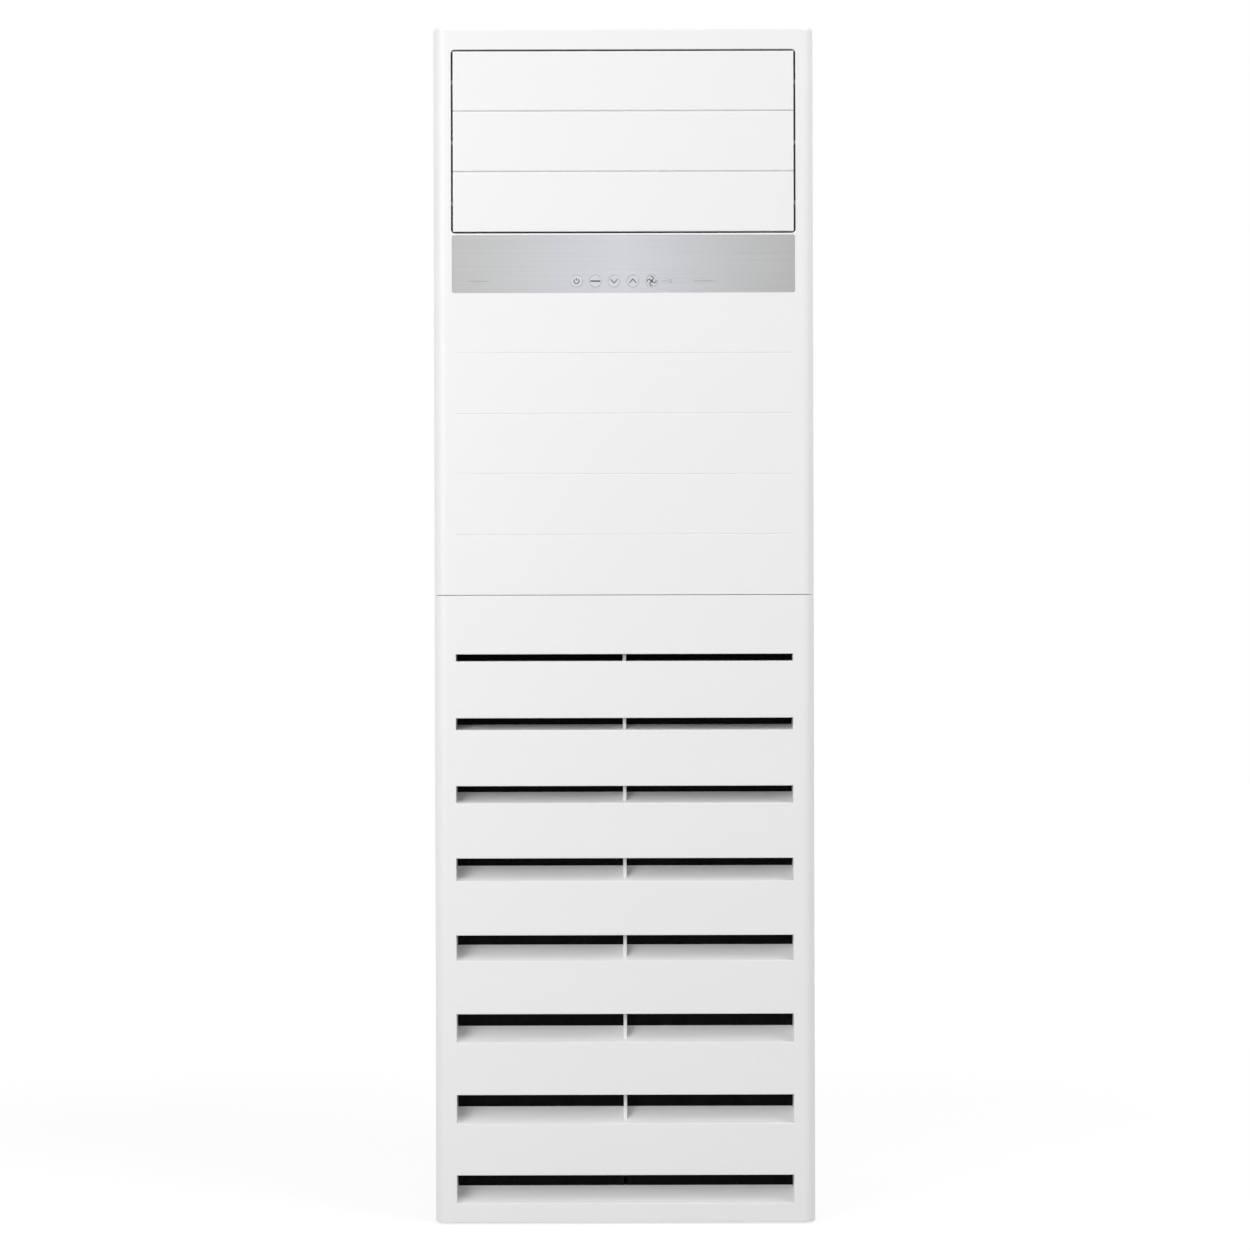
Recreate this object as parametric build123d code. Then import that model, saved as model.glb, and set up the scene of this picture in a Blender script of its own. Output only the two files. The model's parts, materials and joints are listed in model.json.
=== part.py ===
from build123d import *
import os
from math import asin, cos, degrees, radians, sin, sqrt

# Floor standing air conditioner, in millimetres. +X is right seen from the front, +Y is towards the
# back and +Z is up. The origin is on the floor, under the middle of the cabinet.

# Cabinet
HEIGHT = 1840.0
WIDTH = 584.0
DEPTH = 440.0
MOULD_T = 2.5  # wall of the plastic mouldings
SHEET_T = 1.0  # steel side and rear panels
PLATE_T = 1.2  # steel pan, deck, scroll and boxes
SHEET_INSET = 1.0  # the steel panels stand this far inside the mouldings
EDGE_R = 20.0  # upright front edges
TOP_R = 9.0  # edges round the top
SIDE_RETURN = 60.0  # depth of the side walls of the upper front panel
COVER_H = 40.0
COVER_GAP = 0.5  # between the top cover and the front panel
FLOOR_GAP = 3.0
SEAM_GAP = 0.8  # between the front panel and the grille
SEAM_RELIEF = 1.0  # the grille's top is lower behind its rounded corners, so that it can tilt
SHELF = 34.0  # flanges along the seam
EDGE_ROUND = 0.8  # rounding of the mouldings' open edges
CUT = 2.0  # how far a cutting body runs past what it cuts
LAP = 1.0  # how far joined bodies run into each other

# Front lines and the louvre window
PLANK = 92.8  # height of one plank of the front, and pitch of the vanes
LINES = 4
LINE_INSET = 5.8  # a line ends this far inside the window's edge
LINE_W = 1.8
LINE_D = 0.9
WINDOW_DROP = 38.0  # below the cabinet's top
WINDOW_SIDE = 27.7  # inside the cabinet's side
WINDOW_R = 6.0
LIP = 5.5  # depth of the window's rim behind the panel

# Control plate and buttons
CONTROL_PLANKS = 5  # the plate stands this many planks above the seam
CONTROL_H = 88.0
CONTROL_INSET = 1.3  # the plate ends this far inside the window's edge
CONTROL_T = 1.2
CONTROL_R = 3.0
CONTROL_GAP = 3.0  # below the window
CONTROL_FIT = 0.2
BUTTON_R = 9.2
BUTTON_GAP = 0.3
BUTTON_RISE = 17.5  # button centres above the plate's lower edge
BUTTON_PITCH = 28.8
BUTTON_SEATS = (-2.5, -1.5, -0.5, 0.5, 1.5)  # in pitches from the middle
BUTTON_NAMES = ("power_button", "mode_button", "down_button", "up_button", "fan_button")
BUTTON_TRAVEL = 0.8
BUTTON_ROUND = 0.3
BUTTON_RIM = 1.8  # flange that keeps a button in its hole
BUTTON_RIM_T = 1.2
STEM_R = 2.5
STEM_L = 3.2
SWITCH_SIDE = 6.0
SWITCH_H = 2.2
SWITCH_GAP = 0.1  # between a pressed stem and its switch
BOARD_T = 1.6
BOARD_HALF = 112.0
BOARD_H = 34.0
BOARD_EDGE = 4.0  # from a board's edge to the middle of a post
POST_R = 3.0

# Vanes
VANES = ("upper_vane", "middle_vane", "lower_vane")
VANE_SEAM = 1.6  # between two closed vanes
VANE_END_GAP = 3.0
VANE_EDGE_GAP = 2.6  # above the top vane and below the bottom one
VANE_PIVOT = 15.0  # pivot behind the front face
VANE_T = 9.0
VANE_LIP_T = 2.5
VANE_CORNER_R = 1.5
TONGUE_T = 1.5
TONGUE_H = 5.0
TONGUE_GAP = 0.3
REBATE = 8.0  # flat strip behind a vane's lower edge, where the tongue lies
ARM_T = 3.0
ARM_HALF = 24.0
ARM_HUB_R = 7.0
PIN_R = 4.0
RUN_FIT = 0.06  # radial clearance of a turning pin
CRANK = 20.0
CRANK_ANGLE = 45.0
CRANK_HUB_R = 5.0
ARM_ROOT = 3.0  # an arm starts this far inside the blade
PIN_PLAY = 0.2  # end play of the vanes' pins
LINK_PIN_R = 2.0
LINK_PIN_PROUD = 0.8
LINK_W = 8.0
LINK_T = 2.5
LINK_GAP = 2.7

# Outlet frame and the foam duct
FRAME_SIDE = 4.2  # frame wall beyond the window's edge, sideways
FRAME_RISE = 3.0  # and up and down
FRAME_DEPTH = 129.5
BUSH_R = 6.0
BUSH_RIM = 2.5
BUSH_RIM_T = 1.2
PRESS_FIT = 0.03
LINER_T = 20.0
LINER_CHEEK = 16.0
LINER_TOP_GAP = 3.5
LINER_BACK_GAP = 1.5
LINER_SIDE_GAP = 1.0
LINER_DROP = 87.0  # below the outlet frame
DUCT_R = 190.0
DUCT_LIP_R = 24.0
DUCT_LIP_GAP = 2.0

# Deflectors behind the vanes
DEFLECTORS = 7
DEFLECTOR_SIDE = 46.5  # outer deflectors inside the frame's wall
DEFLECTOR_BACK = 92.0  # pivots behind the front face
DEFLECTOR_NOSE = 18.0
DEFLECTOR_TAIL = 38.0
DEFLECTOR_T = 2.2
COLUMN_R = 3.5
DEFLECTOR_PIN_R = 2.5
DEFLECTOR_FOOT_GAP = 2.0
DEFLECTOR_HEAD_GAP = 8.0
DEFLECTOR_PLAY = 0.3  # a deflector's pins end this far inside the frame's faces
TIE_ARM = 24.0
TIE_PIN_R = 2.0
TIE_PIN_H = 5.0
TIE_BOSS_WALL = 1.2
TIE_BOSS_H = 4.0
TIE_PIN_PLAY = 0.3
TIE_W = 9.0
TIE_T = 2.5
TIE_GAP = 2.0
CRANK_SEAT = -2.5  # swing crank, in deflector pitches from the middle
CRANK_T = 2.3
CRANK_GAP = 0.6
CRANK_SHAFT_R = 3.2
CRANK_SHAFT_DROP = 0.5  # below the top of the frame's roof
CRANK_SHAFT_GAP = 1.0
CRANK_FLOOR_T = 0.8  # under the stepper's shaft
STEPPER_R = 14.0
STEPPER_H = 15.0
STEPPER_SHAFT_R = 1.5
STEPPER_SHAFT_L = 4.2  # reach into a vane's pin
STEPPER_SHAFT_GAP = 0.4
STEPPER_STAND = 0.2  # between a bush and the vane stepper's ears
STEPPER_EAR = 17.5
STEPPER_EAR_T = 1.2
VANE_STEPPER_R = 12.0
VANE_STEPPER_H = 12.0
VANE_STEPPER_OFFSET = 8.0

# Intake grille
SLOT_SIDE = 33.4  # slots end this far inside the cabinet's side
TOP_BAND = 90.5  # from the seam to the first slot
FOOT_BAND = 32.3  # from the floor to the last slot
SLOT_HEIGHTS = (11.0, 18.5, 26.5, 35.0, 39.0, 43.5, 44.0, 43.0)
SLAT_STEP = 1.3  # each slat is this much lower than the one above
SCOOP_DEPTH = 36.0
SCOOP_RISE = 21.0
SCOOP_SIGHT = 11.0  # clear height left above a scoop
SCOOP_MIN = 1.0
SLAT_FLANGE = 12.0
GRILLE_RETURN = 58.0
GRILLE_FOOT = 6.0
CHEEK_T = 2.5
CHEEK_BACK = 50.0  # rear edge of the cheeks behind the front face
CHEEK_DROP = 4.3  # cheeks reach this far below the last slot
CHEEK_RISE = 20.5  # and this far above the first
SPINE_W = 5.0
SPINE_BACK = 17.0
FILTER_BACK = 38.0
FILTER_ROOM = 8.0
FILTER_PLAY = 0.3
FILTER_T = 7.4
FILTER_BORDER = 9.0
FILTER_MESH_T = 0.8
FILTER_UPRIGHTS = 2
FILTER_CROSSBARS = 6
FILTER_BAR_W = 3.0
RAIL_T = 1.5
RAIL_W = 5.0
LEDGE_T = 2.0
PEG_R = 4.0
PEG_SIDE = 26.0  # inside the cabinet's side
PEG_DROP = 35.0  # below the seam
PEG_REACH = 70.0  # tip behind the front face
PEG_HOLE_GAP = 1.0
HINGE_SIDE = 92.0  # inside the cabinet's side
HINGE_BACK = 7.0
HINGE_Z = 15.0
HINGE_PIN_R = 2.5
HINGE_BOSS_R = 5.0
HINGE_BOSS_W = 12.0
HINGE_EAR_R = 4.2
HINGE_EAR_T = 2.5
HINGE_EAR_GAP = 0.4
HINGE_PLATE_T = 2.0
HINGE_PLATE_DROP = 9.0  # plate below and above the pin
HINGE_PLATE_RISE = 7.0

# Steel structure
PAN_BACK = 20.0  # front wall of the pan behind the front face
PAN_FRONT_H = 22.0
PAN_H = 45.0
PAN_CLEAR = 1.5
FRONT_FLANGE = 20.0
REAR_FLANGE = 8.0
REAR_SIDE_GAP = 0.5  # rear panel inside the side panels' faces
TOP_FLANGE = 12.0
FLANGE_GAP = 1.0  # beside the side panels' front flanges
CROSS_T = 1.5
CROSS_LOW = 62.0  # below the seam
CROSS_HIGH = 10.0
DECK_DROP = 85.0  # below the seam
PARTITION_BACK = 108.0
ANCHOR_SIDE = 52.0  # anchor holes inside the cabinet's side
ANCHOR_END = 50.0  # and inside its front and back
ANCHOR_R = 5.5
WALL_FIX_X = 300.0
WALL_FIX_DROP = 100.0  # below the cabinet's top
WALL_FIX_R = 4.5
SWAGES = 3
SWAGE_PITCH = 140.0
SWAGE_MARGIN = 200.0  # above the floor and below the top
SWAGE_W = 14.0
SWAGE_D = 0.5
REAR_SCREWS = 5  # up each side
REAR_SCREW_LOW = 80.0
REAR_SCREW_DROP = 40.0  # below the top cover
SIDE_SCREWS = 3
SIDE_SCREW_END = 40.0  # inside the ends of a side panel
SCREW_HEAD_R = 3.5
SCREW_HEAD_H = 0.9
SCREW_R = 2.0
SCREW_L = 3.0
SCREW_FIT = 0.1

# Blower
FAN_X = -18.0
FAN_Z = 400.0
VOLUTE_STEP = 9.0  # half the side of the square that the arcs' centres stand on
PIPE_GAP = 12.8  # between the scroll and the gas pipe beside it
TONGUE_ANGLE = 120.0
TONGUE_SPACE = 18.0  # between the wheel and the smallest arc
BLOWER_ROOM = 238.0  # from the scroll's front plate to the rear panel
SCROLL_W = 130.0
WHEEL_GAP = 12.0  # in front of the wheel
WHEEL_BACK_GAP = 8.0
WHEEL_DISC_T = 2.0
WHEEL_RING_T = 6.0
WHEEL_RING_PROUD = 3.0
BLADES = 36
BLADE_D = 32.0  # from a blade's root to its tip
BLADE_T = 1.6
BLADE_SWEEP = 7.0  # degrees from a blade's root to its tip
BLADE_BULGE = 2.6
HUB_R = 30.0
HUB_L = 40.0
HUB_FLARE = 60.0
SHAFT_R = 7.0
SHAFT_PROUD = 2.0  # in front of the hub
SHAFT_END_GAP = 5.0
BELL_GAP = 6.0  # throat inside the wheel's eye
BELL_CURVE = 18.0
BELL_RIM = 12.0
BELL_HOLE_GAP = 0.5
MOTOR_R = 75.0
MOTOR_L = 75.0
MOTOR_FLANGE_R = 95.0
MOTOR_FLANGE_T = 3.0
MOTOR_BOSS_R = 20.0
MOTOR_BOSS_L = 2.0
MOTOR_STEP = 8.0
MOTOR_CAP_T = 4.0
MOTOR_SEAT_R = 85.0
MOTOR_PAD_R = 10.0
MOTOR_PAD_T = 3.3
BRACKET_T = 2.5
BRACKET_R = 100.0
BRACKET_INSET = 4.0  # arms end this far inside the smallest arc
BRACKET_ARM_W = 34.0
BRACKET_ARMS = (90.0, 210.0, 330.0)
PLATE_HOLE_R = 60.0
FOOT_W = 40.0
FOOT_T = 2.0
FOOT_SPREAD = 120.0
FOOT_GAP = 8.4  # below the bellmouth's rim
FOOT_TOE = 25.0

# Coil and pipes
COIL_FRONT_GAP = 44.0  # middle of the coil's foot behind the partition
COIL_BACK_GAP = 57.8  # middle of its top in front of the rear panel
COIL_RISE = 43.8  # above the deck
COIL_L = 540.0
COIL_T = 54.0
COIL_SIDE = 42.0  # inside the cabinet's side
FIN_PITCH = 12.5
FIN_T = 2.5
COIL_CORE_T = 4.0  # web that joins the fins along the coil's middle
END_PLATE_T = 1.5
END_PLATE_EDGE = 2.0
END_FOOT_FRONT = 28.0  # foot in front of and behind the coil's middle
END_FOOT_BACK = 22.0
END_FOOT_LAP = 5.0
LUG_DROP = 30.0
LUG_BACK = 15.0
LUG_H = 16.0
BEND_PITCH = 25.4
BEND_TUBE_R = 4.8
BENDS = 5
BEND_STEP = 88.0
BEND_FIRST = 90.0
TRAY_LEFT = 16.0  # inside the cabinet's sides
TRAY_RIGHT = 36.0
TRAY_GAP = 4.0  # behind the partition
TRAY_D = 74.0
TRAY_H = 30.0
DRAIN_SIDE = 26.0  # inside the cabinet's side
DRAIN_Z = 120.0
DRAIN_HOLE_GAP = 1.0
DRAIN_HOLE_R = 7.5
DRAIN_R = 10.0
DRAIN_END_R = 8.5
DRAIN_END_L = 30.0
DRAIN_BEND = 30.0
DRAIN_INSET = 0.5  # its end inside the cabinet's depth
PIPE_SIDE = 27.0  # inside the cabinet's side
PIPE_END_GAP = 36.0  # in front of the rear panel
PIPE_BEND = 40.0
PIPE_TURN = 13.0
PIPE_HOLE_GAP = 2.0
GAS_R = 7.94
GAS_BACK = 72.0  # behind the partition
GAS_RISE = 80.0  # above the deck
GAS_LOW = 345.0
GAS_UNION_R = 11.1
GAS_UNION_L = 16.0
GAS_HEX = 26.0
LIQUID_R = 4.76
LIQUID_BACK = 48.0
LIQUID_RISE = 105.0
LIQUID_LOW = 300.0
LIQUID_UNION_R = 7.9
LIQUID_UNION_L = 14.0
LIQUID_HEX = 19.0
UNION_HEX_L = 12.0
UNION_SOCKET = 8.0
PORT_W = 30.0
PORT_H = 120.0
PORT_R = 8.0
GROMMET_T = 2.0
GROMMET_RIM = 2.0
GLAND_SIDE = 52.0  # inside the cabinet's side
GLAND_Z = 480.0
GLAND_BORE_R = 7.0
GLAND_R = 10.5
GLAND_NUT_R = 14.0
GLAND_NUT_L = 5.0
GLAND_L = 14.0

# Control box
BOX_HALF = 180.0
BOX_RISE = 35.0  # above the seam
BOX_DROP = 49.0  # below the control plate
BOX_DEPTH = 73.0
BOX_LID_T = 2.0
BOARD_RISE = 8.0
MAIN_BOARD_W = 200.0
MAIN_BOARD_H = 170.0
MAIN_BOARD_SIDE = 140.0  # inside the box's right wall
MAIN_BOARD_DROP = 30.0  # below the box's top
MAIN_POST_EDGE = 8.0
RELAY_W = 42.0
RELAY_H = 36.0
RELAY_T = 32.0
RELAY_EDGE = 20.0  # inside the board's corner
CAPACITORS = 3
CAPACITOR_R = 10.0
CAPACITOR_L = 28.0
CAPACITOR_PITCH = 26.0
CAPACITOR_X = 90.0  # first one, from the board's left edge
SOCKETS = 5
SOCKET_SIDE = 18.0
SOCKET_T = 16.0
SOCKET_PITCH = 30.0
SOCKET_X = 24.0
SOCKET_DROP = 22.0
CHIP_X = 60.0
CHIP_Z = 84.0
CHIP_W = 36.0
CHIP_H = 24.0
CHIP_T = 5.0
TERMINALS = 6
TERMINAL_PITCH = 14.0
TERMINAL_CELL = 10.0
TERMINAL_WALL = 5.0
TERMINAL_H = 26.0
TERMINAL_T = 24.0
TERMINAL_FLOOR = 10.0
TERMINAL_RISE = 50.0  # above the box's floor
TERMINAL_LEFT = 20.0  # inside the main board's right edge

# Planes and levels that follow from these
HALF, FRONT, BACK = WIDTH / 2, -DEPTH / 2, DEPTH / 2
HALF_IN, FRONT_IN = HALF - MOULD_T, FRONT + MOULD_T
SHELL_BACK = FRONT + SIDE_RETURN
SIDE_OUT = HALF - SHEET_INSET
SIDE_IN = SIDE_OUT - SHEET_T
REAR_OUT = BACK - SHEET_INSET
REAR_IN = REAR_OUT - SHEET_T
FLANGE_IN = REAR_IN - SHEET_T
COVER_Z = HEIGHT - COVER_H
WINDOW_TOP = HEIGHT - WINDOW_DROP
WINDOW_LOW = WINDOW_TOP - len(VANES) * PLANK + VANE_SEAM - 2 * VANE_EDGE_GAP
WINDOW_H = WINDOW_TOP - WINDOW_LOW
WINDOW_HALF = HALF - WINDOW_SIDE
LINE_HALF = WINDOW_HALF - LINE_INSET
CONTROL_TOP = WINDOW_LOW - CONTROL_GAP
CONTROL_Z = CONTROL_TOP - CONTROL_H
CONTROL_HALF = WINDOW_HALF - CONTROL_INSET
SEAM_Z = CONTROL_Z - CONTROL_PLANKS * PLANK  # seam between the front panel and the grille
PANEL_Z = SEAM_Z + SEAM_GAP / 2
GRILLE_TOP = SEAM_Z - SEAM_GAP / 2
GRILLE_BACK = FRONT + GRILLE_RETURN
VANE_HALF = (PLANK - VANE_SEAM) / 2
LIP_Y = FRONT_IN + LIP
BUTTON_Z = CONTROL_Z + BUTTON_RISE
BUTTON_HOLE_R = BUTTON_R + BUTTON_GAP
STEM_TIP = FRONT_IN + BUTTON_RIM_T + STEM_L
SWITCH_FACE = STEM_TIP + BUTTON_TRAVEL + SWITCH_GAP
BOARD_FACE = SWITCH_FACE + SWITCH_H
PIVOT_Y = FRONT + VANE_PIVOT
VANE_END = WINDOW_HALF - VANE_END_GAP
FRAME_HALF = WINDOW_HALF + FRAME_SIDE
FRAME_OUT = FRAME_HALF + MOULD_T
STEPPER_X = FRAME_OUT + BUSH_RIM_T + STEPPER_STAND
FRAME_LOW, FRAME_TOP = WINDOW_LOW - FRAME_RISE, WINDOW_TOP + FRAME_RISE
FRAME_BACK = FRONT_IN + FRAME_DEPTH
LINER_BACK = REAR_IN - LINER_BACK_GAP
LINER_TOP = HEIGHT - MOULD_T - LINER_TOP_GAP
LINER_Z = FRAME_LOW - LINER_DROP
LINER_HALF = SIDE_OUT - TOP_FLANGE - LINER_SIDE_GAP
DUCT_HALF = LINER_HALF - LINER_CHEEK
DEFLECTOR_PITCH = 2 * (FRAME_HALF - DEFLECTOR_SIDE) / (DEFLECTORS - 1)
DEFLECTOR_Y = FRONT + DEFLECTOR_BACK
DEFLECTOR_LOW = FRAME_LOW + DEFLECTOR_FOOT_GAP
DEFLECTOR_TOP = FRAME_TOP - DEFLECTOR_HEAD_GAP
TIE_Z = DEFLECTOR_TOP + TIE_GAP
CRANK_Z = TIE_Z + TIE_T + CRANK_GAP
CRANK_X = CRANK_SEAT * DEFLECTOR_PITCH
SLOT_HALF = HALF - SLOT_SIDE
SLATS = len(SLOT_HEIGHTS) - 1
SLAT_ROOM = SEAM_Z - TOP_BAND - FOOT_BAND - sum(SLOT_HEIGHTS)
SLAT_H = SLAT_ROOM / SLATS + SLAT_STEP * (SLATS - 1) / 2  # first slat
CHEEK_Y = FRONT + CHEEK_BACK
FILTER_Y = FRONT + FILTER_BACK
HINGE_X = HALF - HINGE_SIDE
HINGE_Y = FRONT + HINGE_BACK
PEG_X = HALF - PEG_SIDE
PEG_Z = SEAM_Z - PEG_DROP
PAN_Y = FRONT + PAN_BACK
PAN_FRONT_HALF = HALF_IN - PAN_CLEAR
CROSS_HALF = SIDE_OUT - FRONT_FLANGE - FLANGE_GAP
ANCHOR_X = WIDTH - 2 * ANCHOR_SIDE
ANCHOR_Y = DEPTH - 2 * ANCHOR_END
WALL_FIX_Z = HEIGHT - WALL_FIX_DROP
PARTITION_Y = FRONT + PARTITION_BACK
DECK_Z = SEAM_Z - DECK_DROP
DECK_TOP = DECK_Z + PLATE_T
PIPE_X = HALF - PIPE_SIDE
PIPE_END_Y = REAR_IN - PIPE_END_GAP
GAS_Y = PARTITION_Y + GAS_BACK
GAS_TOP = DECK_Z + GAS_RISE
LIQUID_Y = PARTITION_Y + LIQUID_BACK
LIQUID_TOP = DECK_Z + LIQUID_RISE
GLAND_X = HALF - GLAND_SIDE
VOLUTE_R = PIPE_X - GAS_R - PIPE_GAP - PLATE_T - 5 * VOLUTE_STEP - FAN_X  # smallest arc
WHEEL_R = VOLUTE_R - TONGUE_SPACE
WHEEL_EYE_R = WHEEL_R - BLADE_D
WHEEL_RING_R = WHEEL_R + WHEEL_RING_PROUD
BELL_R = WHEEL_EYE_R - BELL_GAP
BELL_RIM_R = BELL_R + BELL_CURVE + BELL_RIM
FOOT_TOP = FAN_Z - sqrt(BELL_RIM_R**2 - (FOOT_SPREAD - FOOT_W / 2) ** 2) - FOOT_GAP
SCROLL_FRONT = REAR_IN - BLOWER_ROOM
SCROLL_BACK = SCROLL_FRONT + SCROLL_W
BRACKET_Y = SCROLL_BACK + PLATE_T
MOTOR_Y = BRACKET_Y + BRACKET_T + MOTOR_PAD_T
WHEEL_FRONT = SCROLL_FRONT + WHEEL_GAP
WHEEL_BACK = SCROLL_BACK - WHEEL_BACK_GAP
BRACKET_REACH = VOLUTE_R - BRACKET_INSET
COIL_HALF = HALF - COIL_SIDE
COIL_Y = PARTITION_Y + COIL_FRONT_GAP
COIL_Z = DECK_TOP + COIL_RISE
COIL_TILT = degrees(asin((REAR_IN - COIL_BACK_GAP - COIL_Y) / COIL_L))
TRAY_X0, TRAY_X1 = TRAY_LEFT - HALF, HALF - TRAY_RIGHT
TRAY_Y0 = PARTITION_Y + TRAY_GAP
TRAY_Y1 = TRAY_Y0 + TRAY_D
DRAIN_X = DRAIN_SIDE - HALF
DRAIN_Y = (TRAY_Y0 + TRAY_Y1) / 2
DRAIN_REACH = BACK - DRAIN_INSET
BOX_Z0, BOX_Z1 = SEAM_Z + BOX_RISE, CONTROL_Z - BOX_DROP


def block(x0, x1, y0, y1, z0, z1):
    """A box given by its two corners."""
    return Pos((x0 + x1) / 2, (y0 + y1) / 2, (z0 + z1) / 2) * Box(x1 - x0, y1 - y0, z1 - z0)


def rod_x(x0, x1, y, z, r):
    return Pos((x0 + x1) / 2, y, z) * Rot(0, 90, 0) * Cylinder(r, x1 - x0)


def rod_y(x, y0, y1, z, r):
    return Pos(x, (y0 + y1) / 2, z) * Rot(90, 0, 0) * Cylinder(r, y1 - y0)


def rod_z(x, y, z0, z1, r):
    return Pos(x, y, (z0 + z1) / 2) * Cylinder(r, z1 - z0)


def along_x(section, x0, x1):
    """Extrudes a section drawn in y and z."""
    return extrude(Plane.YZ.offset(x0) * section, x1 - x0)


def along_y(outline, y0, y1):
    """Extrudes an outline drawn in x and z."""
    return extrude(Plane.XZ.offset(-y1) * outline, y1 - y0)


def along_z(plan, z0, z1):
    return extrude(Plane.XY.offset(z0) * plan, z1 - z0)


def other_side(shape):
    return mirror(shape, about=Plane.YZ)


def group(shapes):
    """Separate solids kept together in one node."""
    return Compound([solid for shape in shapes for solid in shape.solids()])


def polar(radius, angle):
    return (radius * cos(radians(angle)), radius * sin(radians(angle)))


# ---- Front mouldings and top cover ----


def front_plan(inset, back):
    """Plan of a front moulding, moved in by inset and cut off at y = back."""
    half, front = HALF - inset, FRONT + inset
    plan = Pos(0, (front + back) / 2) * Rectangle(2 * half, back - front)
    return fillet(plan.vertices().sort_by(Axis.Y)[:2], EDGE_R - inset)


def front_strip(depth):
    """Plan of a flange that follows the front's rounded corners inside the wall."""
    strip = Pos(0, FRONT + depth / 2) * Rectangle(WIDTH, depth)
    return front_plan(MOULD_T / 2, SHELL_BACK) & strip


def rounded_end(solid, end, radius, open_edge):
    """Rounds the edges of the top (-1) or bottom (0) face, apart from the one at the neighbour."""
    edges = solid.faces().sort_by(Axis.Z)[end].edges().sort_by(Axis.Y)
    edges.pop(open_edge)
    return fillet(edges, radius)


def round_mouth(shape, half, low, high):
    """Rounds the edges, in the front face, of the openings inside a rectangle."""
    mouth = []
    for edge in shape.edges().filter_by_position(Axis.Y, FRONT - LAP, FRONT + EDGE_ROUND / 2):
        middle = edge.center()
        if abs(middle.X) < half + LAP and low - LAP < middle.Z < high + LAP:
            mouth.append(edge)
    return fillet(mouth, EDGE_ROUND)


def window(grow):
    centre = Pos(0, (WINDOW_LOW + WINDOW_TOP) / 2)
    return centre * RectangleRounded(2 * (WINDOW_HALF + grow), WINDOW_H + 2 * grow, WINDOW_R + grow)


def control_outline(grow):
    centre = Pos(0, (CONTROL_Z + CONTROL_TOP) / 2)
    height = CONTROL_TOP - CONTROL_Z
    return centre * RectangleRounded(2 * (CONTROL_HALF + grow), height + 2 * grow, CONTROL_R + grow)


def button_x(index):
    return BUTTON_SEATS[index] * BUTTON_PITCH


def board_posts():
    x, rise = BOARD_HALF - BOARD_EDGE, BOARD_H / 2 - BOARD_EDGE
    places = [(sx * x, BUTTON_Z + sz * rise) for sx in (-1, 1) for sz in (-1, 1)]
    return [rod_y(x, FRONT_IN - LAP, BOARD_FACE, z, POST_R) for x, z in places]


def front_line(z):
    """Cutting body of a shallow line: square above, sloping out to the face below."""
    top, low = z + LINE_W / 2, z - LINE_W / 2
    outer, deep = FRONT - CUT, FRONT + LINE_D
    outline = Polyline((outer, top), (deep, top), (FRONT, low), (outer, low), close=True)
    return along_x(make_face(outline), -LINE_HALF, LINE_HALF)


def front_panel():
    outer = rounded_end(along_z(front_plan(0, SHELL_BACK), PANEL_Z, HEIGHT), -1, TOP_R, -1)
    outer = rounded_end(outer, 0, EDGE_ROUND, -1)
    hollow = along_z(front_plan(MOULD_T, SHELL_BACK + CUT), PANEL_Z - CUT, HEIGHT - MOULD_T)
    panel = outer - rounded_end(hollow, -1, TOP_R - MOULD_T, -1)
    panel += along_z(front_strip(SHELF), PANEL_Z, PANEL_Z + MOULD_T)
    panel += along_y(window(MOULD_T), FRONT_IN - LAP, LIP_Y)
    panel += board_posts()
    panel -= along_y(window(0), FRONT - CUT, LIP_Y + CUT)
    panel = round_mouth(panel, WINDOW_HALF, WINDOW_LOW, WINDOW_TOP)
    cuts = [along_y(control_outline(CONTROL_FIT), FRONT - CUT, FRONT + CONTROL_T)]
    for index in range(len(BUTTON_NAMES)):
        cuts.append(rod_y(button_x(index), FRONT - CUT, FRONT_IN + CUT, BUTTON_Z, BUTTON_HOLE_R))
    for line in range(1, LINES + 1):
        cuts.append(front_line(SEAM_Z + line * PLANK))
    return panel - cuts


def top_cover():
    y0 = SHELL_BACK + COVER_GAP
    outer = rounded_end(block(-HALF, HALF, y0, BACK, COVER_Z, HEIGHT), -1, TOP_R, 0)
    hollow = block(-HALF_IN, HALF_IN, y0 - CUT, BACK - MOULD_T, COVER_Z - CUT, HEIGHT - MOULD_T)
    return outer - rounded_end(hollow, -1, TOP_R - MOULD_T, 0)


# ---- Intake grille ----


def slot_levels():
    """Lower and upper edge of each slot, from the top one down."""
    levels, z = [], SEAM_Z - TOP_BAND
    for index, height in enumerate(SLOT_HEIGHTS):
        levels.append((z - height, z))
        z -= height + SLAT_H - index * SLAT_STEP
    return levels


def scoop_rise(height):
    return max(SCOOP_MIN, min(SCOOP_RISE, height - SCOOP_SIGHT))


def scoop(z, rise):
    """Curved wall that leads the air in over a slat: level at the front, steeper behind."""
    depth = SCOOP_DEPTH - EDGE_ROUND
    radius = (depth**2 + rise**2) / (2 * rise)
    sweep = degrees(asin(depth / radius))
    centre = (FRONT + EDGE_ROUND, z + radius)
    top = CenterArc(centre, radius, -90, sweep)
    under = CenterArc(centre, radius + MOULD_T, -90, sweep)
    ends = [Line(top @ 0, under @ 0), Line(top @ 1, under @ 1)]
    return along_x(make_face([top, under, *ends]), -SLOT_HALF, SLOT_HALF)


def filter_rail(x0, x1, z0, z1):
    """Rib behind a filter's edge; the scoops' rear edges guide its front."""
    back = FILTER_Y + FILTER_ROOM
    return block(x0, x1, back, back + RAIL_T, z0, z1)


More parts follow.
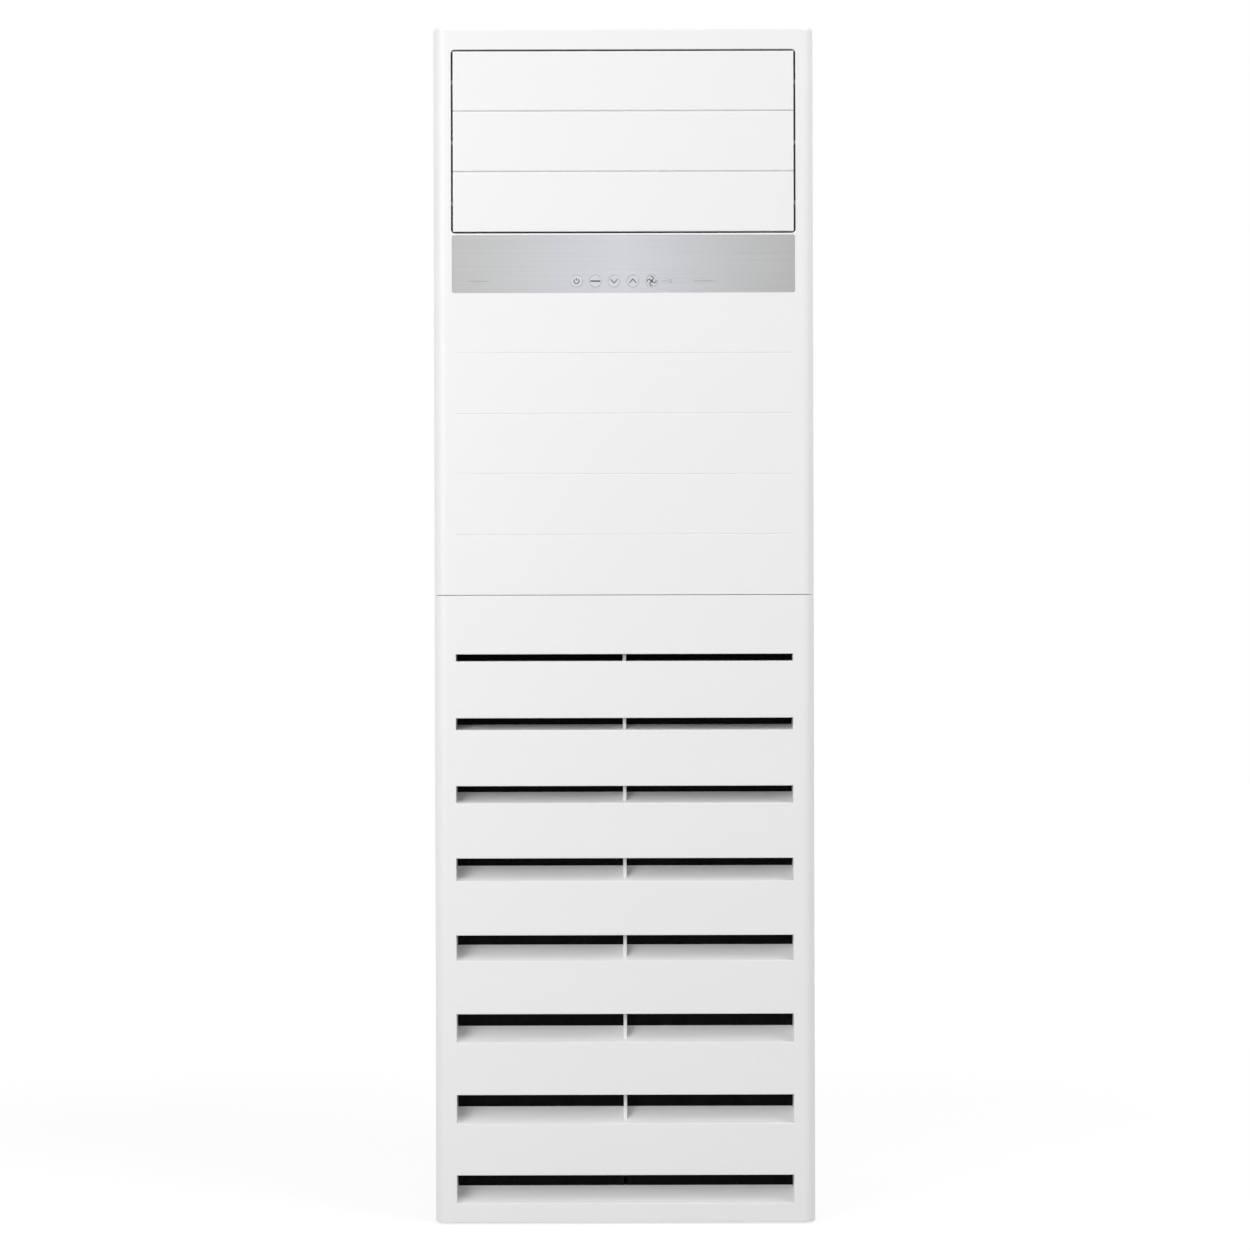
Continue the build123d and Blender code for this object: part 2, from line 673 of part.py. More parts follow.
def grille_inside(levels):
    """Cheeks, spine, rails and the ledge that the filters stand on."""
    low, high = levels[-1][0] - CHEEK_DROP, levels[0][1] + CHEEK_RISE
    spine_low = levels[-1][1]
    pieces = [block(-SPINE_W / 2, SPINE_W / 2, FRONT + SPINE_BACK, CHEEK_Y, spine_low, high)]
    for side in (-1, 1):
        x0, x1 = sorted((side * SLOT_HALF, side * (SLOT_HALF + CHEEK_T)))
        pieces.append(block(x0, x1, FRONT_IN - LAP, CHEEK_Y, low, high))
        x0, x1 = sorted((side * SLOT_HALF, side * (SLOT_HALF - RAIL_W)))
        pieces.append(filter_rail(x0, x1, low, high))
        x0, x1 = sorted((side * SPINE_W / 2, side * (SPINE_W / 2 + RAIL_W)))
        pieces.append(filter_rail(x0, x1, spine_low, high))
    crest = levels[-1][0] + scoop_rise(SLOT_HEIGHTS[-1])
    behind = FRONT + SCOOP_DEPTH - LAP
    pieces.append(block(-SLOT_HALF, SLOT_HALF, behind, CHEEK_Y, low, low + LEDGE_T))
    pieces.append(block(-SLOT_HALF, SLOT_HALF, behind, FILTER_Y, low, crest - MOULD_T))
    return pieces


def intake_grille():
    levels = slot_levels()
    outer = along_z(front_plan(0, GRILLE_BACK), FLOOR_GAP, GRILLE_TOP)
    for end in (-1, 0):
        outer = rounded_end(outer, end, EDGE_ROUND, -1)
    grille = outer - along_z(front_plan(MOULD_T, GRILLE_BACK + CUT), -CUT, SEAM_Z)
    grille += along_z(front_strip(SHELF), GRILLE_TOP - MOULD_T, GRILLE_TOP)
    relief = (FRONT + EDGE_R, GRILLE_BACK + CUT, GRILLE_TOP - SEAM_RELIEF, GRILLE_TOP + CUT)
    grille -= block(-HALF - CUT, HALF + CUT, *relief)
    grille += along_z(front_strip(GRILLE_FOOT), FLOOR_GAP, FLOOR_GAP + MOULD_T)
    grille -= [block(-SLOT_HALF, SLOT_HALF, FRONT - CUT, FRONT_IN + CUT, z0, z1) for z0, z1 in levels]
    grille = round_mouth(grille, SLOT_HALF, levels[-1][0], levels[0][1])
    added = [scoop(z0, scoop_rise(height)) for (z0, _), height in zip(levels, SLOT_HEIGHTS)]
    for _, z1 in levels:
        flange = (FRONT + EDGE_ROUND, FRONT + SLAT_FLANGE)
        added.append(block(-SLOT_HALF, SLOT_HALF, *flange, z1, z1 + MOULD_T))
    added += grille_inside(levels)
    for side in (-1, 1):
        added.append(rod_y(side * PEG_X, FRONT_IN - LAP, FRONT + PEG_REACH, PEG_Z, PEG_R))
        x = side * HINGE_X
        boss = rod_x(x - HINGE_BOSS_W / 2, x + HINGE_BOSS_W / 2, HINGE_Y, HINGE_Z, HINGE_BOSS_R)
        added.append(boss)
    bore = rod_x(-HALF_IN, HALF_IN, HINGE_Y, HINGE_Z, HINGE_PIN_R + RUN_FIT)
    return grille + added - bore


def air_filter(side):
    """Mesh panel in a frame with cross bars, for the left (-1) or right (1) half of the grille."""
    levels = slot_levels()
    z0 = levels[-1][0] - CHEEK_DROP + LEDGE_T + FILTER_PLAY
    z1 = levels[0][1] + CHEEK_RISE
    x0, x1 = SPINE_W / 2 + FILTER_PLAY, SLOT_HALF - FILTER_PLAY
    y0 = FILTER_Y + (FILTER_ROOM - FILTER_T) / 2
    y1, middle = y0 + FILTER_T, y0 + FILTER_T / 2
    border, half_bar = FILTER_BORDER, FILTER_BAR_W / 2
    frame = block(x0, x1, y0, y1, z0, z1)
    frame -= block(x0 + border, x1 - border, y0 - CUT, y1 + CUT, z0 + border, z1 - border)
    bars = []
    for index in range(1, FILTER_UPRIGHTS + 1):
        x = x0 + (x1 - x0) * index / (FILTER_UPRIGHTS + 1)
        bars.append(block(x - half_bar, x + half_bar, y0, y1, z0 + LAP, z1 - LAP))
    for index in range(1, FILTER_CROSSBARS + 1):
        z = z0 + (z1 - z0) * index / (FILTER_CROSSBARS + 1)
        bars.append(block(x0 + LAP, x1 - LAP, y0, y1, z - half_bar, z + half_bar))
    net = (middle - FILTER_MESH_T / 2, middle + FILTER_MESH_T / 2)
    panel = frame + bars + block(x0 + LAP, x1 - LAP, *net, z0 + LAP, z1 - LAP)
    return panel if side > 0 else other_side(panel)


def hinge_brackets():
    """Plates on the pan's front wall, each with two ears and the pin that the grille turns on."""
    brackets = []
    for side in (-1, 1):
        x = side * HINGE_X
        reach = HINGE_BOSS_W / 2 + HINGE_EAR_GAP + HINGE_EAR_T
        y0, y1 = PAN_Y - HINGE_PLATE_T, PAN_Y
        plate = (HINGE_Z - HINGE_PLATE_DROP, HINGE_Z + HINGE_PLATE_RISE)
        bracket = block(x - reach, x + reach, y0, y1, *plate)
        web = Pos((HINGE_Y + y1) / 2, HINGE_Z) * Rectangle(y1 - HINGE_Y, 2 * HINGE_EAR_R)
        ear = web + Pos(HINGE_Y, HINGE_Z) * Circle(HINGE_EAR_R)
        bracket += along_x(ear, x - reach, x - reach + HINGE_EAR_T)
        bracket += along_x(ear, x + reach - HINGE_EAR_T, x + reach)
        bracket += rod_x(x - reach - LAP, x + reach + LAP, HINGE_Y, HINGE_Z, HINGE_PIN_R)
        brackets.append(bracket)
    return group(brackets)


# ---- Steel structure ----


def spread(first, last, count):
    """Evenly spaced places from the first to the last."""
    return [first + (last - first) * index / (count - 1) for index in range(count)]


def rear_screw_places():
    x = SIDE_OUT - REAR_FLANGE / 2
    levels = spread(REAR_SCREW_LOW, COVER_Z - REAR_SCREW_DROP, REAR_SCREWS)
    return [(side * x, z) for side in (-1, 1) for z in levels]


def side_screw_places():
    rows = spread(SHELL_BACK + SIDE_SCREW_END, REAR_IN - SIDE_SCREW_END, SIDE_SCREWS)
    return [(y, PAN_H / 2 + FLOOR_GAP) for y in rows]


def side_panel(side):
    """Steel sheet with its front, rear and top edges bent inwards."""
    low, high, hole = FLOOR_GAP, COVER_Z, SCREW_R + SCREW_FIT
    panel = block(SIDE_IN, SIDE_OUT, SHELL_BACK, REAR_IN, low, high)
    panel += block(SIDE_OUT - FRONT_FLANGE, SIDE_OUT, SHELL_BACK, SHELL_BACK + SHEET_T, low, high)
    panel += block(SIDE_OUT - REAR_FLANGE, SIDE_OUT, FLANGE_IN, REAR_IN, low, high)
    panel += block(SIDE_OUT - TOP_FLANGE, SIDE_OUT, SHELL_BACK, REAR_IN, high - SHEET_T, high)
    holes = [rod_x(SIDE_IN - CUT, SIDE_OUT + CUT, y, z, hole) for y, z in side_screw_places()]
    for x, z in rear_screw_places():
        if x > 0:
            holes.append(rod_y(x, FLANGE_IN - CUT, REAR_IN + CUT, z, hole))
    panel -= holes
    return panel if side > 0 else other_side(panel)


def port_outline(grow):
    centre = Pos(PIPE_X, (GAS_LOW + LIQUID_LOW) / 2)
    return centre * RectangleRounded(PORT_W + 2 * grow, PORT_H + 2 * grow, PORT_R + grow)


def swage(index):
    """Outline of one of the upright stiffening channels in the rear panel."""
    x = (index - (SWAGES - 1) / 2) * SWAGE_PITCH
    return Pos(x, HEIGHT / 2) * SlotOverall(HEIGHT - 2 * SWAGE_MARGIN, SWAGE_W, 90)


def rear_panel():
    half = SIDE_OUT - REAR_SIDE_GAP
    panel = block(-half, half, REAR_IN, REAR_OUT, FLOOR_GAP, COVER_Z)
    swages = [swage(index) for index in range(SWAGES)]
    ribs = [along_y(outline, REAR_IN - SWAGE_D, REAR_IN + SWAGE_D) for outline in swages]
    channels = [offset(outline, -SHEET_T) for outline in swages]
    hollows = [along_y(outline, REAR_OUT - SWAGE_D, REAR_OUT + CUT) for outline in channels]
    through = (REAR_IN - CUT, REAR_OUT + CUT)
    holes = [along_y(port_outline(0), *through)]
    holes.append(rod_y(DRAIN_X, *through, DRAIN_Z, DRAIN_R + DRAIN_HOLE_GAP))
    holes.append(rod_y(GLAND_X, *through, GLAND_Z, GLAND_R + PRESS_FIT))
    for side in (-1, 1):
        holes.append(rod_y(side * WALL_FIX_X / 2, *through, WALL_FIX_Z, WALL_FIX_R))
    for x, z in rear_screw_places():
        holes.append(rod_y(x, *through, z, SCREW_R + SCREW_FIT))
    return panel + ribs - hollows - holes


def cabinet_screws():
    screws = []
    for x, z in rear_screw_places():
        head = rod_y(x, REAR_OUT, REAR_OUT + SCREW_HEAD_H, z, SCREW_HEAD_R)
        screws.append(head + rod_y(x, REAR_OUT - SCREW_L, REAR_OUT + SCREW_HEAD_H / 2, z, SCREW_R))
    for y, z in side_screw_places():
        head = rod_x(SIDE_OUT, SIDE_OUT + SCREW_HEAD_H, y, z, SCREW_HEAD_R)
        screw = head + rod_x(SIDE_OUT - SCREW_L, SIDE_OUT + SCREW_HEAD_H / 2, y, z, SCREW_R)
        screws += [screw, other_side(screw)]
    return group(screws)


def base_pan():
    side_y = SHELL_BACK + PAN_CLEAR
    pan = block(-SIDE_IN, SIDE_IN, side_y, FLANGE_IN, 0, PLATE_T)
    pan += block(-PAN_FRONT_HALF, PAN_FRONT_HALF, PAN_Y, side_y, 0, PLATE_T)
    walls = [block(-PAN_FRONT_HALF, PAN_FRONT_HALF, PAN_Y, PAN_Y + PLATE_T, 0, PAN_FRONT_H)]
    walls.append(block(-SIDE_IN, SIDE_IN, FLANGE_IN - PLATE_T, FLANGE_IN, 0, PAN_H))
    wall = block(SIDE_IN - PLATE_T, SIDE_IN, side_y, FLANGE_IN, 0, PAN_H)
    for y, z in side_screw_places():
        wall -= rod_x(SIDE_IN - PLATE_T - CUT, SIDE_IN + CUT, y, z, SCREW_R + SCREW_FIT)
    x0, y1 = PAN_FRONT_HALF - PLATE_T, SHELL_BACK - PAN_CLEAR / 2
    short = block(x0, PAN_FRONT_HALF, PAN_Y, y1, 0, PAN_FRONT_H)
    walls += [wall, other_side(wall), short, other_side(short)]
    holes = []
    for x in (-ANCHOR_X / 2, ANCHOR_X / 2):
        holes += [rod_z(x, y, -CUT, PLATE_T + CUT, ANCHOR_R) for y in (-ANCHOR_Y / 2, ANCHOR_Y / 2)]
    return pan + walls - holes


def front_crossbar():
    """Channel behind the seam; the grille's pegs go through its web."""
    z0, z1 = SEAM_Z - CROSS_LOW, SEAM_Z - CROSS_HIGH
    web = block(-PAN_FRONT_HALF, PAN_FRONT_HALF, SHELL_BACK - CROSS_T, SHELL_BACK, z0, z1)
    lower = block(-CROSS_HALF, CROSS_HALF, SHELL_BACK - CROSS_T, PARTITION_Y, z0, z0 + CROSS_T)
    upper = block(-CROSS_HALF, CROSS_HALF, SHELL_BACK - CROSS_T, PARTITION_Y, z1 - CROSS_T, z1)
    through = (SHELL_BACK - CROSS_T - CUT, SHELL_BACK + CUT)
    holes = [rod_y(x, *through, PEG_Z, PEG_R + PEG_HOLE_GAP) for x in (-PEG_X, PEG_X)]
    return web + [lower, upper] - holes


def fan_deck():
    """Shelf over the blower: the scroll blows up through it."""
    deck = block(-SIDE_IN, SIDE_IN, PARTITION_Y, FLANGE_IN, DECK_Z, DECK_TOP)
    x0, x1 = neck_walls(0)
    through = (DECK_Z - CUT, DECK_TOP + CUT)
    cuts = [block(x0, x1, SCROLL_FRONT, SCROLL_BACK, *through)]
    cuts.append(rod_z(PIPE_X, GAS_Y, *through, GAS_R + PIPE_HOLE_GAP))
    cuts.append(rod_z(PIPE_X, LIQUID_Y, *through, LIQUID_R + PIPE_HOLE_GAP))
    cuts.append(rod_z(DRAIN_X, DRAIN_Y, *through, DRAIN_R + DRAIN_HOLE_GAP))
    return deck - cuts


def front_partition():
    """Wall in front of the coil, with a flange under the outlet frame."""
    top = FRAME_LOW - MOULD_T
    wall = block(-CROSS_HALF, CROSS_HALF, PARTITION_Y, PARTITION_Y + SHEET_T, DECK_TOP, top)
    return wall + block(-CROSS_HALF, CROSS_HALF, PARTITION_Y, FRAME_BACK, top - SHEET_T, top)


# ---- Blower ----


def neck_walls(grow):
    """Left and right wall of the scroll's neck."""
    left = FAN_X - VOLUTE_STEP + VOLUTE_R * cos(radians(TONGUE_ANGLE)) - grow
    right = FAN_X + VOLUTE_STEP + VOLUTE_R + 4 * VOLUTE_STEP + grow
    return left, right


def scroll_outline(grow):
    """Volute seen from the front: three arcs that open anticlockwise from the tongue, then the neck.

    The arcs' centres are corners of a square round the shaft, so each arc's radius is two steps
    larger than the one before and they meet without a kink.
    """
    a = (FAN_X - VOLUTE_STEP, FAN_Z - VOLUTE_STEP)
    b = (FAN_X + VOLUTE_STEP, FAN_Z - VOLUTE_STEP)
    c = (FAN_X + VOLUTE_STEP, FAN_Z + VOLUTE_STEP)
    first = VOLUTE_R + grow
    left, right = neck_walls(grow)
    rise = sqrt(first**2 - (left - a[0]) ** 2)
    tongue = 180 - degrees(asin(rise / first))
    arc_a = CenterArc(a, first, tongue, 180 - tongue)
    arc_b = CenterArc(b, first + 2 * VOLUTE_STEP, 180, 90)
    arc_c = CenterArc(c, first + 4 * VOLUTE_STEP, 270, 90)
    top_left, top_right = (left, DECK_Z), (right, DECK_Z)
    lines = [Line(arc_c @ 1, top_right), Line(top_right, top_left), Line(top_left, arc_a @ 0)]
    return make_face([arc_a, arc_b, arc_c, *lines])


def scroll_wrap():
    return along_y(scroll_outline(PLATE_T) - scroll_outline(0), SCROLL_FRONT, SCROLL_BACK)


def scroll_side_plates():
    outline = scroll_outline(PLATE_T)
    centre = Pos(FAN_X, FAN_Z)
    front = outline - centre * Circle(BELL_R + BELL_CURVE + BELL_HOLE_GAP)
    rear = outline - centre * Circle(PLATE_HOLE_R)
    plates = [along_y(front, SCROLL_FRONT - PLATE_T, SCROLL_FRONT)]
    plates.append(along_y(rear, SCROLL_BACK, SCROLL_BACK + PLATE_T))
    return group(plates)


def scroll_feet():
    """Four straps from the pan up the outside of the scroll's side plates."""
    feet = []
    for side in (-1, 1):
        x0 = FAN_X + side * FOOT_SPREAD - FOOT_W / 2
        x1 = x0 + FOOT_W
        y = SCROLL_FRONT - PLATE_T
        foot = block(x0, x1, y - FOOT_T, y, PLATE_T, FOOT_TOP)
        feet.append(foot + block(x0, x1, y - FOOT_TOE, y, PLATE_T, PLATE_T + FOOT_T))
        y = SCROLL_BACK + PLATE_T
        foot = block(x0, x1, y, y + FOOT_T, PLATE_T, FOOT_TOP)
        feet.append(foot + block(x0, x1, y, y + FOOT_TOE, PLATE_T, PLATE_T + FOOT_T))
    return group(feet)


def turned(profile):
    """Revolves a profile of (radius, y) points about the blower's shaft."""
    return Pos(FAN_X, 0, FAN_Z) * Rot(-90, 0, 0) * revolve(Plane.XZ * profile, Axis.Z)


def bellmouth():
    """Inlet ring: a flat rim on the scroll's front plate that curves into the wheel's eye."""
    face = SCROLL_FRONT - PLATE_T
    centre = (BELL_R + BELL_CURVE, face + BELL_CURVE)
    back = CenterArc(centre, BELL_CURVE, 180, 90)
    front = CenterArc(centre, BELL_CURVE + PLATE_T, 180, 90)
    path = [
        back,
        Line(back @ 1, (BELL_RIM_R, face)),
        Line((BELL_RIM_R, face), (BELL_RIM_R, face - PLATE_T)),
        Line((BELL_RIM_R, face - PLATE_T), front @ 1),
        front,
        Line(front @ 0, back @ 0),
    ]
    return turned(make_face(path))


def blade_section():
    """One thin bowed blade, its tip leading: the wheel turns anticlockwise seen from the front."""
    half = degrees(BLADE_T / 2 / WHEEL_R)
    middle = (WHEEL_EYE_R + WHEEL_R) / 2
    lag = degrees(BLADE_BULGE / middle)
    sides = []
    for side in (-1, 1):
        root = polar(WHEEL_EYE_R, side * half)
        centre = polar(middle, lag - BLADE_SWEEP / 2 + side * half)
        tip = polar(WHEEL_R, side * half - BLADE_SWEEP)
        sides.append(ThreePointArc(root, centre, tip))
    one, two = sides
    return make_face([one, two, Line(one @ 0, two @ 0), Line(one @ 1, two @ 1)])


def fan_wheel():
    """Wheel built on its own axis, which then points to the back of the cabinet."""
    depth = WHEEL_BACK - WHEEL_FRONT
    wheel = Pos(0, 0, depth - WHEEL_DISC_T / 2) * Cylinder(WHEEL_R, WHEEL_DISC_T)
    ring = Circle(WHEEL_RING_R) - Circle(WHEEL_R - WHEEL_DISC_T)
    section = blade_section()
    added = [extrude(ring, WHEEL_RING_T)]
    for index in range(BLADES):
        blade = Rot(0, 0, index * 360 / BLADES) * extrude(section, depth - WHEEL_DISC_T / 2)
        added.append(blade)
    root, disc = depth - HUB_L, depth - WHEEL_DISC_T / 2
    flare = [(0, root), (HUB_R, root), (HUB_R, depth - HUB_L / 3), (HUB_FLARE, disc), (0, disc)]
    added.append(revolve(Plane.XZ * make_face(Polyline(*flare, close=True)), Axis.Z))
    wheel = wheel + added - Pos(0, 0, depth / 2) * Cylinder(SHAFT_R + RUN_FIT, 2 * depth)
    return Pos(FAN_X, WHEEL_FRONT, FAN_Z) * Rot(-90, 0, 0) * wheel


def motor_shaft():
    y0, y1 = WHEEL_BACK - HUB_L - SHAFT_PROUD, MOTOR_Y + MOTOR_L - SHAFT_END_GAP
    return rod_y(FAN_X, y0, y1, FAN_Z, SHAFT_R)


def motor_bracket():
    """Three-armed spider on the scroll's rear plate, with pads under the motor's flange."""
    centre = Pos(FAN_X, FAN_Z)
    outline = Circle(BRACKET_R)
    arm = Pos(BRACKET_REACH / 2, 0) * Rectangle(BRACKET_REACH, BRACKET_ARM_W)
    for angle in BRACKET_ARMS:
        outline += Rot(0, 0, angle) * arm
    outline = centre * (outline - Circle(PLATE_HOLE_R))
    bracket = along_y(outline, BRACKET_Y, BRACKET_Y + BRACKET_T)
    pads = []
    for angle in BRACKET_ARMS:
        x, z = polar(MOTOR_SEAT_R, angle)
        pads.append(rod_y(FAN_X + x, BRACKET_Y + BRACKET_T / 2, MOTOR_Y, FAN_Z + z, MOTOR_PAD_R))
    return bracket + pads


def fan_motor():
    """Flanged can with a bearing boss at the front and a shallow step at the rear."""
    y0, y1, y2 = MOTOR_Y, MOTOR_Y + MOTOR_FLANGE_T, MOTOR_Y + MOTOR_L
    points = [
        (SHAFT_R + RUN_FIT, y0 - MOTOR_BOSS_L),
        (MOTOR_BOSS_R, y0 - MOTOR_BOSS_L),
        (MOTOR_BOSS_R, y0),
        (MOTOR_FLANGE_R, y0),
        (MOTOR_FLANGE_R, y1),
        (MOTOR_R, y1),
        (MOTOR_R, y2 - MOTOR_STEP),
        (MOTOR_R - MOTOR_STEP, y2),
        (0, y2),
        (0, y2 - MOTOR_CAP_T),
        (SHAFT_R + RUN_FIT, y2 - MOTOR_CAP_T),
    ]
    return turned(make_face(Polyline(*points, close=True)))


# ---- Coil, drain and pipes ----


def on_coil(shape):
    """Places a shape drawn with the coil upright, its foot at the origin."""
    return Pos(0, COIL_Y, COIL_Z) * Rot(-COIL_TILT, 0, 0) * shape


def coil_fin_block():
    """Upright fins on both sides of a thin web, one for each group of real fins."""
    face, core = COIL_T / 2, COIL_CORE_T / 2
    fins = block(-COIL_HALF, COIL_HALF, -face, face, 0, COIL_L)
    gaps = []
    for index in range(round(2 * COIL_HALF / FIN_PITCH)):
        x0 = -COIL_HALF + index * FIN_PITCH + FIN_T
        x1 = x0 + FIN_PITCH - FIN_T
        gaps.append(block(x0, x1, core, face + CUT, -CUT, COIL_L + CUT))
        gaps.append(block(x0, x1, -face - CUT, -core, -CUT, COIL_L + CUT))
    return on_coil(fins - gaps)


def coil_end_plates():
    """Plates that hold the tubes, with a foot in the drain tray and a lug to the rear panel."""
    edge = COIL_T / 2 + END_PLATE_EDGE
    x0, x1 = COIL_HALF, COIL_HALF + END_PLATE_T
    plate = on_coil(block(x0, x1, -edge, edge, -END_PLATE_EDGE, COIL_L + END_PLATE_EDGE))
    foot = (COIL_Y - END_FOOT_FRONT, COIL_Y + END_FOOT_BACK)
    plate += block(x0, x1, *foot, DECK_TOP + PLATE_T, COIL_Z + END_FOOT_LAP)
    lug_z = COIL_Z + COIL_L * cos(radians(COIL_TILT)) - LUG_DROP
    lug_y = COIL_Y + COIL_L * sin(radians(COIL_TILT)) - LUG_BACK
    plate += block(x0, x1, lug_y, REAR_IN, lug_z, lug_z + LUG_H)
    return group([plate, other_side(plate)])


def return_bends():
    """U-shaped tube ends that stick out of the end plates."""
    half_ring = revolve(Plane.YZ * Pos(0, BEND_PITCH / 2) * Circle(BEND_TUBE_R), Axis.Y, 180)
    bends = []
    for index in range(BENDS):
        place = Pos(COIL_HALF + END_PLATE_T, 0, BEND_FIRST + index * BEND_STEP)
        bend = on_coil(place * half_ring)
        bends += [bend, other_side(bend)]
    return group(bends)


def drain_pan():
    """Tray under the coil with its outlet in the left end."""
    floor, wall = DECK_TOP + PLATE_T, PLATE_T
    tray = block(TRAY_X0, TRAY_X1, TRAY_Y0, TRAY_Y1, DECK_TOP, DECK_TOP + TRAY_H)
    inside = (TRAY_X0 + wall, TRAY_X1 - wall, TRAY_Y0 + wall, TRAY_Y1 - wall)
    tray -= block(*inside, floor, DECK_TOP + TRAY_H + CUT)
    return tray - rod_z(DRAIN_X, DRAIN_Y, DECK_TOP - CUT, floor + CUT, DRAIN_HOLE_R)


def tube_along(points, radii, radius):
    """Round tube or hose along straight runs joined by arcs."""
    path = FilletPolyline(*points, radius=radii)
    start = Plane(origin=path @ 0, z_dir=path % 0)
    return sweep(start * Circle(radius), path=path)


def drain_pipe():
    y = DRAIN_REACH - DRAIN_END_L
    route = [(DRAIN_X, DRAIN_Y, DECK_TOP), (DRAIN_X, DRAIN_Y, DRAIN_Z), (DRAIN_X, y, DRAIN_Z)]
    pipe = tube_along(route, DRAIN_BEND, DRAIN_R)
    return pipe + rod_y(DRAIN_X, y - LAP, DRAIN_REACH, DRAIN_Z, DRAIN_END_R)


def coil_pipe(radius, y, top, low):
    """Pipe from the right end plate, down beside the scroll and back to the port."""
    route = [
        (COIL_HALF + END_PLATE_T, y, top),
        (PIPE_X, y, top),
        (PIPE_X, y, low),
        (PIPE_X, PIPE_END_Y, low),
    ]
    return tube_along(route, [PIPE_TURN, PIPE_BEND], radius)


def pipe_unions():
    """Hexagon unions brazed on the pipes' ends, each with a round male end to the rear."""
    unions = []
    gas = (GAS_LOW, GAS_R, GAS_HEX, GAS_UNION_R, GAS_UNION_L)
    liquid = (LIQUID_LOW, LIQUID_R, LIQUID_HEX, LIQUID_UNION_R, LIQUID_UNION_L)
    for z, pipe_r, hexagon, end_r, length in (gas, liquid):
        y0 = PIPE_END_Y - UNION_SOCKET
        y1 = y0 + UNION_HEX_L
        outline = Pos(PIPE_X, z) * RegularPolygon(hexagon / 2, 6, major_radius=False)
        union = along_y(outline, y0, y1) + rod_y(PIPE_X, y1 - LAP, y1 + length, z, end_r)
        unions.append(union - rod_y(PIPE_X, y0 - CUT, PIPE_END_Y, z, pipe_r + PRESS_FIT))
    return group(unions)


def pipe_grommet():
    """Rubber edging round the pipe port, seated inside the rear panel."""
    flange = port_outline(GROMMET_RIM) - port_outline(-GROMMET_T)
    lip = port_outline(-PRESS_FIT) - port_outline(-GROMMET_T)
    return along_y(flange, REAR_IN - GROMMET_T, REAR_IN) + along_y(lip, REAR_IN - LAP, REAR_OUT)


def cable_gland():
    """Empty gland for the supply cable."""
    gland = rod_y(GLAND_X, REAR_OUT - GLAND_L, REAR_OUT, GLAND_Z, GLAND_R)
    nut = Pos(GLAND_X, GLAND_Z) * RegularPolygon(GLAND_NUT_R, 6)
    gland += along_y(nut, REAR_IN - GLAND_NUT_L, REAR_IN)
    return gland - rod_y(GLAND_X, REAR_OUT - GLAND_L - CUT, REAR_OUT + CUT, GLAND_Z, GLAND_BORE_R)


# ---- Louvre outlet ----


def frame_tube(grow):
    height = FRAME_TOP - FRAME_LOW + 2 * grow
    return Pos(0, (FRAME_LOW + FRAME_TOP) / 2) * Rectangle(2 * (FRAME_HALF + grow), height)


def vane_z(index):
    return WINDOW_TOP - VANE_EDGE_GAP - VANE_HALF - index * PLANK


def deflector_x(index):
    return (index - (DEFLECTORS - 1) / 2) * DEFLECTOR_PITCH


def outlet_frame():
    """Square tube that sleeves over the window's collar and bears on the back of the front panel."""
    frame = along_y(frame_tube(MOULD_T) - frame_tube(0), FRONT_IN, FRAME_BACK)
    cuts = [rod_x(-HALF, HALF, PIVOT_Y, vane_z(index), BUSH_R) for index in range(len(VANES))]
    low, high = FRAME_LOW - MOULD_T - CUT, FRAME_TOP + MOULD_T + CUT
    for index in range(DEFLECTORS):
        seat = (deflector_x(index), DEFLECTOR_Y)
        cuts.append(rod_z(*seat, low, high, DEFLECTOR_PIN_R + RUN_FIT))
    cuts.append(rod_z(CRANK_X, DEFLECTOR_Y, FRAME_TOP - CUT, high, CRANK_SHAFT_R + CRANK_SHAFT_GAP))
    frame -= cuts
    for side in (-1, 1):
        z = vane_z(1) + side * STEPPER_EAR
        frame += rod_x(FRAME_OUT - LAP, STEPPER_X, PIVOT_Y + VANE_STEPPER_OFFSET, z, POST_R)
    return frame


def vane_bushes():
    bushes = []
    for index in range(len(VANES)):
        z = vane_z(index)
        body = rod_x(FRAME_HALF, FRAME_OUT, PIVOT_Y, z, BUSH_R - PRESS_FIT)
        body += rod_x(FRAME_OUT, FRAME_OUT + BUSH_RIM_T, PIVOT_Y, z, BUSH_R + BUSH_RIM)
        body -= rod_x(FRAME_HALF - CUT, FRAME_OUT + BUSH_RIM_T + CUT, PIVOT_Y, z, PIN_R + RUN_FIT)
        bushes += [body, other_side(body)]
    return group(bushes)


def vane_section(tongue):
    """Vane seen from its end, about its pivot: flat in front, bowed behind, with a rebate below."""
    front = -VANE_PIVOT
    lap = VANE_LIP_T + TONGUE_GAP + TONGUE_T
    a, b = (front, -VANE_HALF), (front, VANE_HALF)
    c, d = (front + lap, VANE_HALF), (front + VANE_LIP_T, REBATE - VANE_HALF)
    e = (front + VANE_LIP_T, -VANE_HALF)
    back = ThreePointArc(c, (front + VANE_T, 0), d)
    section = make_face([Line(a, b), Line(b, c), back, Line(d, e), Line(e, a)])
    section = fillet(section.vertices().sort_by(Axis.X)[:2], VANE_CORNER_R)
    if tongue:
        height = TONGUE_H + 2 * LAP
        middle = Pos(front + lap - TONGUE_T / 2, VANE_HALF + TONGUE_H - height / 2)
        section += middle * Rectangle(TONGUE_T, height)
    return section


